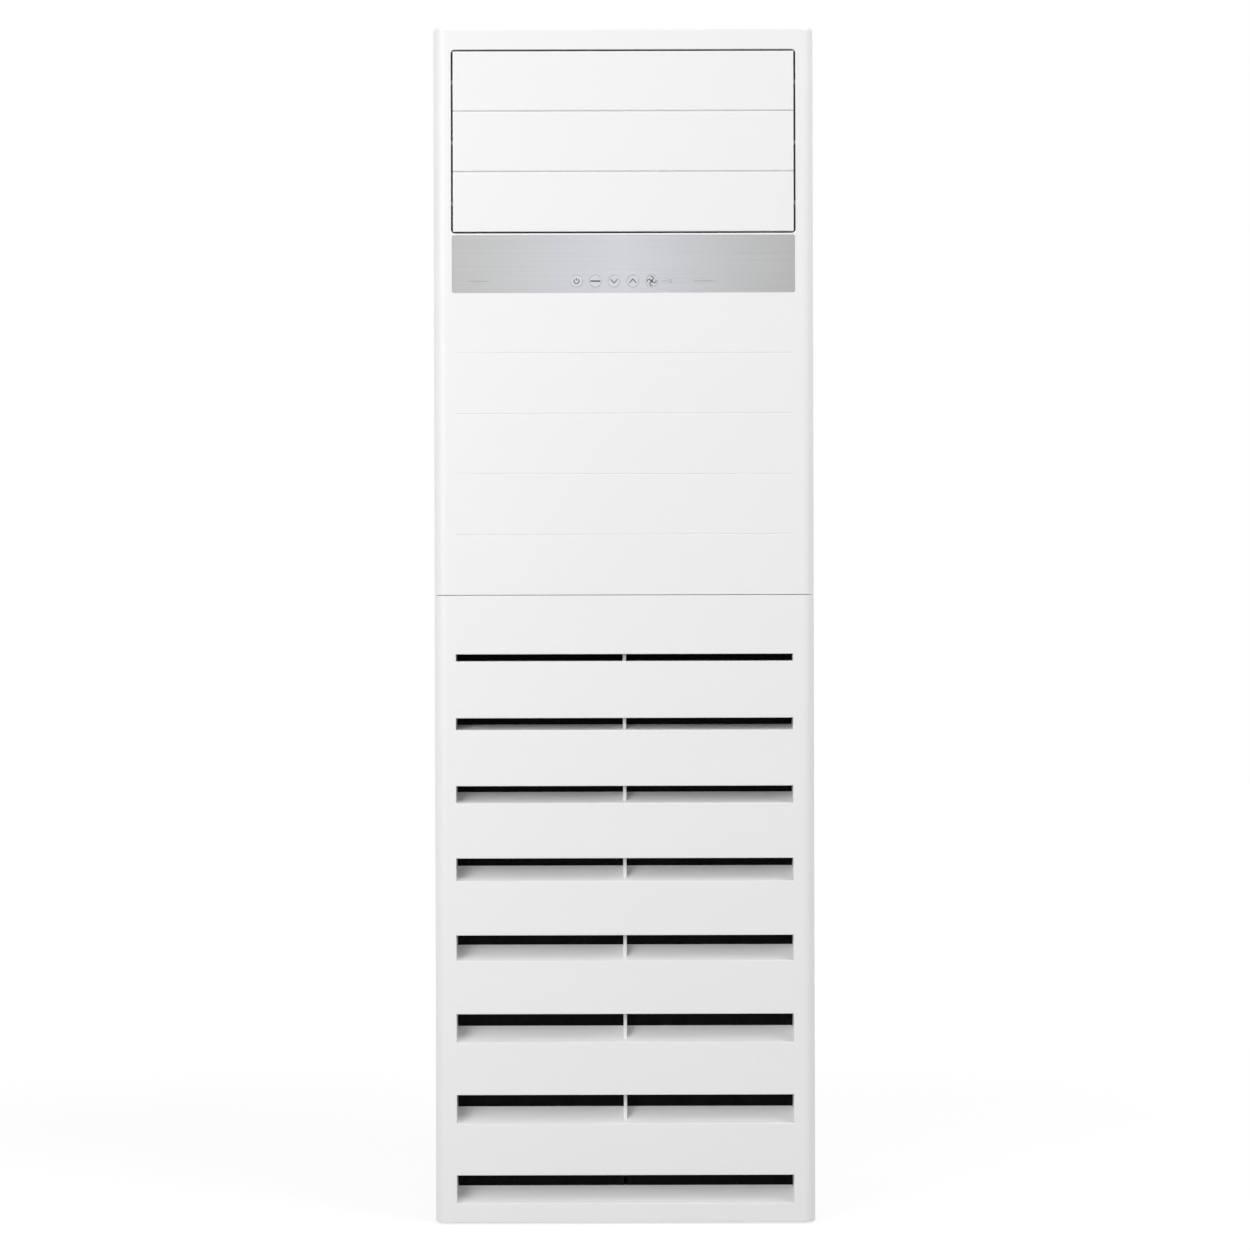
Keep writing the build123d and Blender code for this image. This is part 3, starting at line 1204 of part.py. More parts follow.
def arm_section(crank):
    """End plate of a vane, from its back to the pivot, with a crank for the link on one end."""
    root = ARM_ROOT - VANE_PIVOT
    corners = [(root, ARM_HALF), (0, ARM_HUB_R), (0, -ARM_HUB_R), (root, -ARM_HALF)]
    arm = make_face(Polyline(*corners, close=True))
    arm += Circle(ARM_HUB_R)
    if crank:
        arm += Rot(0, 0, CRANK_ANGLE) * Pos(CRANK / 2, 0) * Rectangle(CRANK, 2 * CRANK_HUB_R)
        arm += Pos(*polar(CRANK, CRANK_ANGLE)) * Circle(CRANK_HUB_R)
    return arm


def vane(index):
    """One louvre vane, with pivot pins at both ends and the link's crank pin at the left."""
    end = FRAME_OUT - PIN_PLAY
    blade = along_x(vane_section(index > 0), -VANE_END, VANE_END)
    blade += along_x(arm_section(False), VANE_END - ARM_T, VANE_END)
    blade += along_x(arm_section(True), -VANE_END, ARM_T - VANE_END)
    blade += rod_x(VANE_END - LAP, end, 0, 0, PIN_R)
    blade += rod_x(-end, LAP - VANE_END, 0, 0, PIN_R)
    tip = -VANE_END - LINK_GAP - LINK_T - LINK_PIN_PROUD
    blade += rod_x(tip, LAP - VANE_END, *polar(CRANK, CRANK_ANGLE), LINK_PIN_R)
    if VANES[index] == "middle_vane":
        seat = end - STEPPER_SHAFT_L - STEPPER_SHAFT_GAP
        blade -= rod_x(seat, end + CUT, 0, 0, STEPPER_SHAFT_R + RUN_FIT)
    return Pos(0, PIVOT_Y, vane_z(index)) * blade


def vane_link():
    """Bar that joins the three cranks, so that the vanes turn together."""
    y, z = polar(CRANK, CRANK_ANGLE)
    z0, z1 = vane_z(len(VANES) - 1) + z, vane_z(0) + z
    outline = Pos(PIVOT_Y + y, (z0 + z1) / 2) * SlotCenterToCenter(z1 - z0, LINK_W, 90)
    for index in range(len(VANES)):
        outline -= Pos(PIVOT_Y + y, vane_z(index) + z) * Circle(LINK_PIN_R + RUN_FIT)
    x = -VANE_END - LINK_GAP
    return along_x(outline, x - LINK_T, x)


def stepper_ears(turn):
    """Outline of a stepper's two fixing ears."""
    return SlotOverall(2 * (STEPPER_EAR + POST_R + LAP), 2 * (POST_R + LAP), turn)


def vane_motor():
    """Stepper on the frame's right wall, its shaft in the middle vane's pin."""
    x, y, z = STEPPER_X, PIVOT_Y + VANE_STEPPER_OFFSET, vane_z(1)
    motor = along_x(Pos(y, z) * stepper_ears(90), x, x + STEPPER_EAR_T)
    motor += rod_x(x, x + VANE_STEPPER_H, y, z, VANE_STEPPER_R)
    tip = FRAME_OUT - PIN_PLAY - STEPPER_SHAFT_L
    return motor + rod_x(tip, x + LAP, PIVOT_Y, z, STEPPER_SHAFT_R)


def deflector(index):
    """Upright blade that swings the air sideways, on pins in the frame's floor and roof."""
    x, y = deflector_x(index), DEFLECTOR_Y
    low, top, tie_y = DEFLECTOR_LOW, DEFLECTOR_TOP, y + TIE_ARM
    chord = SlotOverall(DEFLECTOR_TAIL + DEFLECTOR_NOSE, DEFLECTOR_T, 90)
    plan = Pos(x, y + (DEFLECTOR_TAIL - DEFLECTOR_NOSE) / 2) * chord
    blade = along_z(plan + Pos(x, y) * Circle(COLUMN_R), low, top)
    blade += rod_z(x, y, FRAME_LOW - MOULD_T + DEFLECTOR_PLAY, low + LAP, DEFLECTOR_PIN_R)
    blade += rod_z(x, y, top - LAP, FRAME_TOP + MOULD_T - DEFLECTOR_PLAY, DEFLECTOR_PIN_R)
    blade += rod_z(x, tie_y, top - TIE_BOSS_H, top, TIE_PIN_R + TIE_BOSS_WALL)
    return blade + rod_z(x, tie_y, top - LAP, top + TIE_PIN_H, TIE_PIN_R)


def deflector_tie_bar():
    y = DEFLECTOR_Y + TIE_ARM
    length = (DEFLECTORS - 1) * DEFLECTOR_PITCH + 2 * TIE_W
    plan = Pos(0, y) * SlotOverall(length, TIE_W)
    seats = [deflector_x(index) for index in range(DEFLECTORS)] + [CRANK_X]
    for x in seats:
        plan -= Pos(x, y) * Circle(TIE_PIN_R + RUN_FIT)
    return along_z(plan, TIE_Z, TIE_Z + TIE_T)


def swing_crank():
    """Arm on the swing motor's shaft; its pin drives the tie bar."""
    y = DEFLECTOR_Y
    roof = FRAME_TOP + MOULD_T
    plan = Pos(CRANK_X, y + TIE_ARM / 2) * SlotCenterToCenter(TIE_ARM, 2 * CRANK_SHAFT_R + LAP, 90)
    crank = along_z(plan, CRANK_Z, CRANK_Z + CRANK_T)
    crank += rod_z(CRANK_X, y, CRANK_Z, roof - CRANK_SHAFT_DROP, CRANK_SHAFT_R)
    crank += rod_z(CRANK_X, y + TIE_ARM, TIE_Z + TIE_PIN_PLAY, CRANK_Z + LAP, TIE_PIN_R)
    bore = rod_z(CRANK_X, y, CRANK_Z + CRANK_FLOOR_T, roof + CUT, STEPPER_SHAFT_R + RUN_FIT)
    return crank - bore


def swing_motor():
    z = FRAME_TOP + MOULD_T
    y = DEFLECTOR_Y
    motor = along_z(Pos(CRANK_X, y) * stepper_ears(0), z, z + STEPPER_EAR_T)
    motor += rod_z(CRANK_X, y, z, z + STEPPER_H, STEPPER_R)
    tip = CRANK_Z + CRANK_FLOOR_T + STEPPER_SHAFT_GAP
    return motor + rod_z(CRANK_X, y, tip, z + LAP, STEPPER_SHAFT_R)


def duct_liner():
    """Foam block behind the outlet: the air comes up past the coil and turns forward under its roof."""
    body = block(-LINER_HALF, LINER_HALF, FRAME_BACK, LINER_BACK, LINER_Z, LINER_TOP)
    back, front = LINER_BACK - LINER_T, FRAME_BACK + DUCT_LIP_R + DUCT_LIP_GAP
    low = LINER_Z - CUT
    roof = CenterArc((back - DUCT_R, FRAME_TOP - DUCT_R), DUCT_R, 0, 90)
    lip = CenterArc((front - DUCT_LIP_R, FRAME_LOW - DUCT_LIP_R), DUCT_LIP_R, 0, 90)
    mouth = FRAME_BACK - CUT
    lines = [
        Line((front, low), (back, low)),
        Line((back, low), roof @ 0),
        Line(roof @ 1, (mouth, FRAME_TOP)),
        Line((mouth, FRAME_TOP), (mouth, FRAME_LOW)),
        Line((mouth, FRAME_LOW), lip @ 1),
        Line(lip @ 0, (front, low)),
    ]
    return body - along_x(make_face([roof, lip, *lines]), -DUCT_HALF, DUCT_HALF)


# ---- Controls ----


def control_plate():
    plate = along_y(control_outline(0), FRONT, FRONT + CONTROL_T)
    through = (FRONT - CUT, FRONT + CONTROL_T + CUT)
    for index in range(len(BUTTON_NAMES)):
        plate -= rod_y(button_x(index), *through, BUTTON_Z, BUTTON_HOLE_R)
    return plate


def button(index):
    """Round cap, flush with the plate, on a rim and a stem that works the switch behind it."""
    x = button_x(index)
    cap = rod_y(x, FRONT, FRONT_IN + BUTTON_RIM_T / 2, BUTTON_Z, BUTTON_R)
    cap = fillet(cap.edges().group_by(Axis.Y)[0], BUTTON_ROUND)
    rim = rod_y(x, FRONT_IN, FRONT_IN + BUTTON_RIM_T, BUTTON_Z, BUTTON_R + BUTTON_RIM)
    return cap + rim + rod_y(x, FRONT_IN, STEM_TIP, BUTTON_Z, STEM_R)


def display_board():
    """Board on the front panel's posts, with one switch behind each button."""
    z0, z1 = BUTTON_Z - BOARD_H / 2, BUTTON_Z + BOARD_H / 2
    board = block(-BOARD_HALF, BOARD_HALF, BOARD_FACE, BOARD_FACE + BOARD_T, z0, z1)
    side = SWITCH_SIDE / 2
    switches = []
    for index in range(len(BUTTON_NAMES)):
        x = button_x(index)
        z = (BUTTON_Z - side, BUTTON_Z + side)
        switches.append(block(x - side, x + side, SWITCH_FACE, BOARD_FACE + LAP, *z))
    return board + switches


def control_box():
    """Open steel box on the partition, with posts for the main board."""
    y0 = PARTITION_Y - BOX_DEPTH
    box = block(-BOX_HALF, BOX_HALF, y0, PARTITION_Y, BOX_Z0, BOX_Z1)
    wall = PLATE_T
    half, y1 = BOX_HALF - wall, PARTITION_Y - wall
    box -= block(-half, half, y0 - CUT, y1, BOX_Z0 + wall, BOX_Z1 - wall)
    x0, x1, z0, z1 = main_board_corners()
    for x in (x0 + MAIN_POST_EDGE, x1 - MAIN_POST_EDGE):
        for z in (z0 + MAIN_POST_EDGE, z1 - MAIN_POST_EDGE):
            box += rod_y(x, y1 - BOARD_RISE, y1 + wall / 2, z, POST_R)
    return box


def main_board_corners():
    x1, z1 = BOX_HALF - MAIN_BOARD_SIDE, BOX_Z1 - MAIN_BOARD_DROP
    return x1 - MAIN_BOARD_W, x1, z1 - MAIN_BOARD_H, z1


def on_board(x, z, width, height, rise):
    """A part on the main board's face, from its lower left corner."""
    face = PARTITION_Y - PLATE_T - BOARD_RISE - BOARD_T
    return block(x, x + width, face - rise, face + LAP, z, z + height)


def main_board():
    """Circuit board with its relay, capacitors, sockets and chip."""
    x0, x1, z0, z1 = main_board_corners()
    back = PARTITION_Y - PLATE_T - BOARD_RISE
    face = back - BOARD_T
    parts = [on_board(x0 + RELAY_EDGE, z0 + RELAY_EDGE, RELAY_W, RELAY_H, RELAY_T)]
    for index in range(CAPACITORS):
        x = x0 + CAPACITOR_X + index * CAPACITOR_PITCH
        z = z0 + RELAY_EDGE + RELAY_H / 2
        parts.append(rod_y(x, face - CAPACITOR_L, face + LAP, z, CAPACITOR_R))
    for index in range(SOCKETS):
        x = x0 + SOCKET_X + index * SOCKET_PITCH
        z = z1 - SOCKET_DROP - SOCKET_SIDE
        parts.append(on_board(x, z, SOCKET_SIDE, SOCKET_SIDE, SOCKET_T))
    parts.append(on_board(x0 + CHIP_X, z0 + CHIP_Z, CHIP_W, CHIP_H, CHIP_T))
    return block(x0, x1, face, back, z0, z1) + parts


def terminal_block():
    """Row of open cells on the box's back wall, for the supply and the outdoor unit's wires."""
    x0 = main_board_corners()[1] - TERMINAL_LEFT
    x1 = x0 + TERMINALS * TERMINAL_PITCH + TERMINAL_PITCH - TERMINAL_CELL + LAP
    y1, z0 = PARTITION_Y - PLATE_T, BOX_Z0 + TERMINAL_RISE
    terminals = block(x0, x1, y1 - TERMINAL_T, y1, z0, z0 + TERMINAL_H)
    cell_z = (z0 + TERMINAL_WALL, z0 + TERMINAL_H - TERMINAL_WALL)
    for index in range(TERMINALS):
        x = x0 + TERMINAL_WALL + index * TERMINAL_PITCH
        cell = (x, x + TERMINAL_CELL, y1 - TERMINAL_T - CUT, y1 - TERMINAL_FLOOR)
        terminals -= block(*cell, *cell_z)
    return terminals


def control_boards():
    return group([main_board(), terminal_block()])


def control_box_cover():
    """Flat lid of the control box."""
    y0, y1 = PARTITION_Y - BOX_DEPTH - BOX_LID_T, PARTITION_Y - BOX_DEPTH
    return block(-BOX_HALF, BOX_HALF, y0, y1, BOX_Z0, BOX_Z1)


def nodes():
    """Every node's name and shape."""
    made = {
        "base_pan": base_pan(),
        "side_panel_left": side_panel(-1),
        "side_panel_right": side_panel(1),
        "rear_panel": rear_panel(),
        "top_cover": top_cover(),
        "front_panel": front_panel(),
        "front_crossbar": front_crossbar(),
        "fan_deck": fan_deck(),
        "front_partition": front_partition(),
        "cabinet_screws": cabinet_screws(),
        "intake_grille": intake_grille(),
        "filter_left": air_filter(-1),
        "filter_right": air_filter(1),
        "grille_hinge_brackets": hinge_brackets(),
        "scroll_wrap": scroll_wrap(),
        "scroll_side_plates": scroll_side_plates(),
        "scroll_feet": scroll_feet(),
        "bellmouth": bellmouth(),
        "fan_wheel": fan_wheel(),
        "motor_shaft": motor_shaft(),
        "motor_bracket": motor_bracket(),
        "fan_motor": fan_motor(),
        "coil_fin_block": coil_fin_block(),
        "coil_end_plates": coil_end_plates(),
        "return_bends": return_bends(),
        "drain_pan": drain_pan(),
        "drain_pipe": drain_pipe(),
        "gas_pipe": coil_pipe(GAS_R, GAS_Y, GAS_TOP, GAS_LOW),
        "liquid_pipe": coil_pipe(LIQUID_R, LIQUID_Y, LIQUID_TOP, LIQUID_LOW),
        "pipe_unions": pipe_unions(),
        "pipe_grommet": pipe_grommet(),
        "cable_gland": cable_gland(),
        "outlet_frame": outlet_frame(),
        "duct_liner": duct_liner(),
        "vane_bushes": vane_bushes(),
        "vane_link": vane_link(),
        "vane_motor": vane_motor(),
        "deflector_tie_bar": deflector_tie_bar(),
        "swing_crank": swing_crank(),
        "swing_motor": swing_motor(),
        "control_plate": control_plate(),
        "display_board": display_board(),
        "control_box": control_box(),
        "control_box_cover": control_box_cover(),
        "control_boards": control_boards(),
    }
    for index, name in enumerate(VANES):
        made[name] = vane(index)
    for index in range(DEFLECTORS):
        made[f"deflector_{index + 1}"] = deflector(index)
    for index, name in enumerate(BUTTON_NAMES):
        made[name] = button(index)
    return made


os.makedirs("parts", exist_ok=True)
for node, shape in nodes().items():
    export_step(shape, f"parts/{node}.step")
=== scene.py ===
import json
import math

import bpy
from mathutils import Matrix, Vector


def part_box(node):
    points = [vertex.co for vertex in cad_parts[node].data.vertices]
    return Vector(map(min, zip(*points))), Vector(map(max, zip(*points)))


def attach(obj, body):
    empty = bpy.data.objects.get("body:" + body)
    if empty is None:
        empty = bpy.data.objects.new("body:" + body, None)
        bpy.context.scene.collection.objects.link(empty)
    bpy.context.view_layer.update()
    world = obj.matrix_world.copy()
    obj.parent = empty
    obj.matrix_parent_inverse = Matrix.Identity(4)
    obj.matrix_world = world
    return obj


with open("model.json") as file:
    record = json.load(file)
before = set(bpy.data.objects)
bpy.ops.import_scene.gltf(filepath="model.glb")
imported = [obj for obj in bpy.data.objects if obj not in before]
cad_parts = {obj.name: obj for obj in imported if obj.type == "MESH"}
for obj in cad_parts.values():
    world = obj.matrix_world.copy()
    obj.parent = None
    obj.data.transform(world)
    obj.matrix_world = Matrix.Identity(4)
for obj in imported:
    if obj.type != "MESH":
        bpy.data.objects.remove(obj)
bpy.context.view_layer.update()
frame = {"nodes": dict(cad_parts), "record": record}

# Floor standing air conditioner: finishes, printed marks, plugs for the hinge bore, studio and
# camera. Lengths are in metres, in the frame's axes.

# Camera
VIEW_WIDTH = 1.917  # what the frame takes in at the plane of the front
VIEW_DISTANCE = 4.5  # from that plane
VIEW_HEIGHT = 0.919
VIEW_SIDE = 0.0011  # the object stands this far left of the frame's middle
VIEW_ROLL = 0.14  # degrees

# Textures
NOISE_LOW, NOISE_HIGH = 0.3, 0.7  # most values of a noise texture lie between these
LEVEL_STREAKS = (4, 1, 1600)  # how fine the brushed marks are along x, y and z

# Control plate: a painted reflection across the brushed metal, lighter and bluer in the middle; its
# colour at the left, in the middle and at the right
PLATE_REFLECTION_TONES = [
    (0.35, 0.35, 0.35),
    (0.47, 0.48, 0.505),
    (0.38, 0.38, 0.38),
]
PLATE_HALF = 0.26  # from the middle to the outer tones

# Printed marks
INK = 0.00004  # how far a mark stands out of its face, and also reaches into it
ICON_R = 0.0055  # about half the width of an icon
ICON_LINE = 0.0016
BAR_LINE = 0.0026
HAIR_LINE = 0.0008
SIDE_MARK_HALF = 0.016
SIDE_MARKS = {"left_mark": -0.222, "right_mark": 0.124}  # x of their middles
MITRE_LEAST = 0.3  # keeps the corners of a line from running out far
TOUCH = 1e-7  # a path whose ends are nearer than this is closed

# Plugs in the ends of the grille's hinge bore
BORE_R = 0.0025
BORE_BACK = 0.007  # behind the front
BORE_HEIGHT = 0.015  # above the floor
CORNER_R = 0.020  # upright edges of the front
PLUG_DEPTH = 0.005

# Studio
FLOOR_HALF = 12.0
FLOOR_TONE = 0.42
GLOW_SHARE = 0.5  # of what the camera sees of the floor; the rest is lit and keeps the shadow
GLOW_NEAR, GLOW_FAR = 1.2, 3.0  # from the middle of the floor
GLOW_AT_NEAR, GLOW_AT_FAR = 1.56, 1.72  # strength of the glow there
LAMP_TARGET = (0, 0, 0.95)  # about the middle of the object


# ---- Shader nodes ----


def map_range(tree, value, low, high, from_low=0.0, from_high=1.0):
    """Maps a value between from_low and from_high to the range from low to high."""
    node = tree.nodes.new("ShaderNodeMapRange")
    node.inputs["From Min"].default_value = from_low
    node.inputs["From Max"].default_value = from_high
    node.inputs["To Min"].default_value = low
    node.inputs["To Max"].default_value = high
    tree.links.new(value, node.inputs["Value"])
    return node.outputs["Result"]


class Finish:
    """One Principled material, whose textures are added step by step.

    The textures lie in object coordinates, in metres, and a larger scale is finer.
    """

    def __init__(self, name, color, roughness, metallic=0.0):
        self.name = name
        self.material = bpy.data.materials.new(name)
        self.material.use_nodes = True
        self.tree = self.material.node_tree
        self.shader = self.tree.nodes["Principled BSDF"]
        self.color = color
        self.roughness = roughness
        self.set("Base Color", (*color, 1))
        self.set("Roughness", roughness)
        self.set("Metallic", metallic)
        self.place = self.tree.nodes.new("ShaderNodeTexCoord").outputs["Object"]
        self.normal = None

    def set(self, socket, value):
        self.shader.inputs[socket].default_value = value

    def link(self, output, socket):
        self.tree.links.new(output, self.shader.inputs[socket])

    def stretched(self, stretch):
        """Object coordinates, scaled apart along each axis."""
        mapping = self.tree.nodes.new("ShaderNodeMapping")
        mapping.inputs["Scale"].default_value = stretch
        self.tree.links.new(self.place, mapping.inputs["Vector"])
        return mapping.outputs["Vector"]

    def texture(self, kind, scale, stretch=None):
        node = self.tree.nodes.new(kind)
        node.inputs["Scale"].default_value = scale
        place = self.place if stretch is None else self.stretched(stretch)
        self.tree.links.new(place, node.inputs["Vector"])
        return node

    def noise(self, scale, detail=2, stretch=None):
        node = self.texture("ShaderNodeTexNoise", scale, stretch)
        node.inputs["Detail"].default_value = detail
        return node.outputs["Fac"]

    def cells(self, scale):
        """Cells of one random colour each."""
        return self.texture("ShaderNodeTexVoronoi", scale).outputs["Color"]

    def cell_edges(self, scale):
        """Distance from the edges of the cells."""
        node = self.texture("ShaderNodeTexVoronoi", scale)
        node.feature = "DISTANCE_TO_EDGE"
        return node.outputs["Distance"]

    def waves(self, scale, direction="X"):
        """Bands that follow one another in a direction."""
        node = self.texture("ShaderNodeTexWave", scale)
        node.bands_direction = direction
        return node.outputs["Fac"]

    def span(self, value, low, high, from_low=NOISE_LOW, from_high=NOISE_HIGH):
        """Maps a texture's value to the range from low to high."""
        return map_range(self.tree, value, low, high, from_low, from_high)

    def tint(self, value, dark, light, from_low=NOISE_LOW, from_high=NOISE_HIGH):
        """Colours the surface between two colours by a texture's value."""
        ramp = self.tree.nodes.new("ShaderNodeValToRGB")
        ramp.color_ramp.elements[0].position = from_low
        ramp.color_ramp.elements[1].position = from_high
        ramp.color_ramp.elements[0].color = (*dark, 1)
        ramp.color_ramp.elements[1].color = (*light, 1)
        self.tree.links.new(value, ramp.inputs["Fac"])
        self.link(ramp.outputs["Color"], "Base Color")

    def mottle(self, value, share):
        """Varies the base colour by a share of its own tone."""
        dark = [c * (1 - share) for c in self.color]
        light = [min(1.0, c * (1 + share)) for c in self.color]
        self.tint(value, dark, light)

    def painted_reflection(self, value, reflection_tones, half, share):
        """Paints a reflection: the given colours set evenly across the width, from -half to half,
        each varied by a share of itself.
        """
        split = self.tree.nodes.new("ShaderNodeSeparateXYZ")
        self.tree.links.new(self.place, split.inputs["Vector"])
        ramp = self.tree.nodes.new("ShaderNodeValToRGB")
        stops = ramp.color_ramp.elements
        while len(stops) < len(reflection_tones):
            stops.new(0.5)
        for i, (stop, tone) in enumerate(zip(stops, reflection_tones)):
            stop.position = i / (len(reflection_tones) - 1)
            stop.color = (*tone, 1)
        across = self.span(split.outputs["X"], 0, 1, -half, half)
        self.tree.links.new(across, ramp.inputs["Fac"])
        streaked_reflection = self.tree.nodes.new("ShaderNodeVectorMath")
        streaked_reflection.operation = "SCALE"
        self.tree.links.new(ramp.outputs["Color"], streaked_reflection.inputs["Vector"])
        self.tree.links.new(self.span(value, 1 - share, 1 + share), streaked_reflection.inputs["Scale"])
        self.link(streaked_reflection.outputs["Vector"], "Base Color")

    def gloss(self, value, spread):
        """Varies the roughness by a spread to each side."""
        low, high = self.roughness - spread, self.roughness + spread
        self.link(self.span(value, low, high), "Roughness")

    def bump(self, value, height, strength):
        """Adds relief of a height in metres on top of any relief so far."""
        bump = self.tree.nodes.new("ShaderNodeBump")
        bump.inputs["Distance"].default_value = height
        bump.inputs["Strength"].default_value = strength
        self.tree.links.new(value, bump.inputs["Height"])
        if self.normal is not None:
            self.tree.links.new(self.normal, bump.inputs["Normal"])
        self.normal = bump.outputs["Normal"]
        self.link(self.normal, "Normal")


# ---- Finishes ----


def moulded(name, color, roughness):
    """Injection moulded plastic: fine even grain, faint tone change over a panel."""
    finish = Finish(name, color, roughness)
    finish.mottle(finish.noise(2.5), share=0.006)
    finish.gloss(finish.noise(14, detail=3), spread=0.03)
    finish.bump(finish.noise(1800, detail=3), height=0.00002, strength=0.25)
    return finish


def powder_coat(name, color):
    """Powder coated steel: orange peel under a satin gloss."""
    finish = Finish(name, color, roughness=0.38)
    finish.mottle(finish.noise(3), share=0.008)
    finish.gloss(finish.noise(9, detail=3), spread=0.04)
    finish.bump(finish.noise(420), height=0.00006, strength=0.35)
    return finish


def galvanised(name):
    """Zinc coated sheet with large flat crystals."""
    finish = Finish(name, (0.60, 0.62, 0.63), roughness=0.38, metallic=0.85)
    crystals = finish.cells(130)
    finish.tint(crystals, (0.50, 0.52, 0.53), (0.68, 0.70, 0.71), from_low=0.1, from_high=0.9)
    finish.gloss(crystals, spread=0.08)
    finish.bump(finish.noise(90, detail=4), height=0.00008, strength=0.3)
    return finish


def brushed(name, color, roughness, streaks, metallic=0.9, reflection_tones=None):
    """Metal with fine marks in tone, gloss and relief; streaks says how fine along each axis, and
    given colours paint a reflection across the width.
    """
    finish = Finish(name, color, roughness, metallic)
    fine = finish.noise(1, detail=4, stretch=streaks)
    if reflection_tones:
        # painted reflection: lighter in the middle of the plate, darker towards its ends
        finish.painted_reflection(fine, reflection_tones, PLATE_HALF, share=0.07)
    else:
        finish.mottle(fine, share=0.05)
    finish.gloss(finish.noise(0.5, detail=3, stretch=streaks), spread=0.06)
    finish.set("Anisotropic", 0.6)
    finish.bump(fine, height=0.00002, strength=0.35)
    return finish


def cast_metal(name, color, roughness):
    """Cast metal with a slightly rough skin."""
    finish = Finish(name, color, roughness, metallic=0.8)
    finish.mottle(finish.noise(60, detail=4), share=0.06)
    finish.bump(finish.noise(500, detail=4), height=0.0001, strength=0.4)
    return finish


def drawn_tube(name, dark, light):
    """Bare copper or brass with patches of tarnish."""
    finish = Finish(name, light, roughness=0.28, metallic=1.0)
    finish.tint(finish.noise(35, detail=5), dark, light, from_low=0.35, from_high=0.6)
    finish.gloss(finish.noise(60, detail=3), spread=0.08)
    finish.bump(finish.noise(300), height=0.00003, strength=0.25)
    return finish


def bead_foam(name):
    """Expanded bead foam: rounded beads pressed together."""
    finish = Finish(name, (0.88, 0.88, 0.87), roughness=0.75)
    finish.mottle(finish.cells(260), share=0.02)
    beads = finish.span(finish.cell_edges(260), 0, 1, from_low=0, from_high=0.12)
    finish.bump(beads, height=0.0003, strength=0.6)
    return finish


def filter_net(name):
    """Dark filter with the relief of a fine woven net."""
    finish = Finish(name, (0.008, 0.008, 0.009), roughness=0.8)
    finish.set("Specular IOR Level", 0.08)
    for direction in ("X", "Z"):
        finish.bump(finish.waves(90, direction), height=0.0003, strength=0.5)
    finish.mottle(finish.noise(40), share=0.2)
    return finish


def circuit_board(name):
    """Green lacquered board with lighter patches of track."""
    finish = Finish(name, (0.03, 0.16, 0.07), roughness=0.35)
    tracks = finish.noise(160, detail=1)
    finish.tint(tracks, (0.02, 0.12, 0.05), (0.05, 0.22, 0.09), from_low=0.48, from_high=0.52)
    finish.bump(tracks, height=0.0001, strength=0.4)
    return finish


def rubber(name):
    """Black rubber with a dull, uneven skin."""
    finish = Finish(name, (0.025, 0.025, 0.025), roughness=0.8)
    finish.mottle(finish.noise(30), share=0.15)
    finish.bump(finish.noise(700, detail=3), height=0.0001, strength=0.4)
    return finish


def aluminium_fins(name):
    """Coated fins, with their many thin edges drawn as light upright lines and painted shade in the
    gaps between them.
    """
    finish = Finish(name, (0.70, 0.72, 0.73), roughness=0.35, metallic=0.7)
    lines = finish.waves(180)
    # painted shade: the dark bands stand for the gaps between the fins, the light ones for their
    # edges
    finish.tint(lines, (0.38, 0.40, 0.41), (0.78, 0.80, 0.81), from_low=0.2, from_high=0.7)
    finish.bump(lines, height=0.0005, strength=0.6)
    return finish


def ink(name, color):
    """Matt printing ink, a little uneven."""
    finish = Finish(name, color, roughness=0.55)
    finish.mottle(finish.noise(900), share=0.08)
    return finish


finishes = {
    finish.name: finish
    for finish in (
        moulded("white_shell", (0.895, 0.895, 0.895), 0.42),
        powder_coat("white_steel", (0.87, 0.87, 0.87)),
        # the control plate's colour carries a painted reflection, lighter in the middle
        brushed("brushed_panel", PLATE_REFLECTION_TONES[1], 0.45, LEVEL_STREAKS, 0.8, PLATE_REFLECTION_TONES),
        brushed("button_cap", (0.50, 0.51, 0.53), 0.36, LEVEL_STREAKS),
        galvanised("zinc_sheet"),
        brushed("screw_steel", (0.6, 0.6, 0.6), 0.3, (300, 300, 300)),
        moulded("black_plastic", (0.02, 0.02, 0.021), 0.5),
        filter_net("filter_dark"),
        moulded("vane_fitting", (0.78, 0.78, 0.765), 0.5),
        bead_foam("foam"),
        aluminium_fins("fin_aluminium"),
        drawn_tube("copper", dark=(0.42, 0.20, 0.12), light=(0.85, 0.45, 0.30)),
        drawn_tube("brass_fitting", dark=(0.50, 0.36, 0.14), light=(0.85, 0.66, 0.32)),
        cast_metal("motor_metal", (0.36, 0.37, 0.38), 0.5),
        brushed("shaft_steel", (0.6, 0.6, 0.61), 0.25, (1, 900, 1)),
        brushed("stepper_metal", (0.62, 0.62, 0.63), 0.35, (600, 600, 600)),
        circuit_board("board"),
        rubber("rubber_black"),
        moulded("hose_grey", (0.62, 0.62, 0.62), 0.5),
    )
}
ink_grey = ink("ink_grey", (0.13, 0.13, 0.135))
ink_faint = ink("ink_faint", (0.25, 0.25, 0.26))


def dress_nodes():
    """Every CAD node gets the finish of its own material slot."""
    for part in frame["record"]["subparts"]:
        node = frame["nodes"][part["node"]]
        node.data.materials.clear()
        node.data.materials.append(finishes[part["material_slot"]].material)


def mesh_object(name, vertices, faces, material):
    """A new mesh in the scene, with one material."""
    mesh = bpy.data.meshes.new(name)
    mesh.from_pydata(vertices, [], faces)
    mesh.validate()
    mesh.update()
    mesh.materials.append(material)
    made = bpy.data.objects.new(name, mesh)
    bpy.context.scene.collection.objects.link(made)
    return made


# ---- Printed marks ----


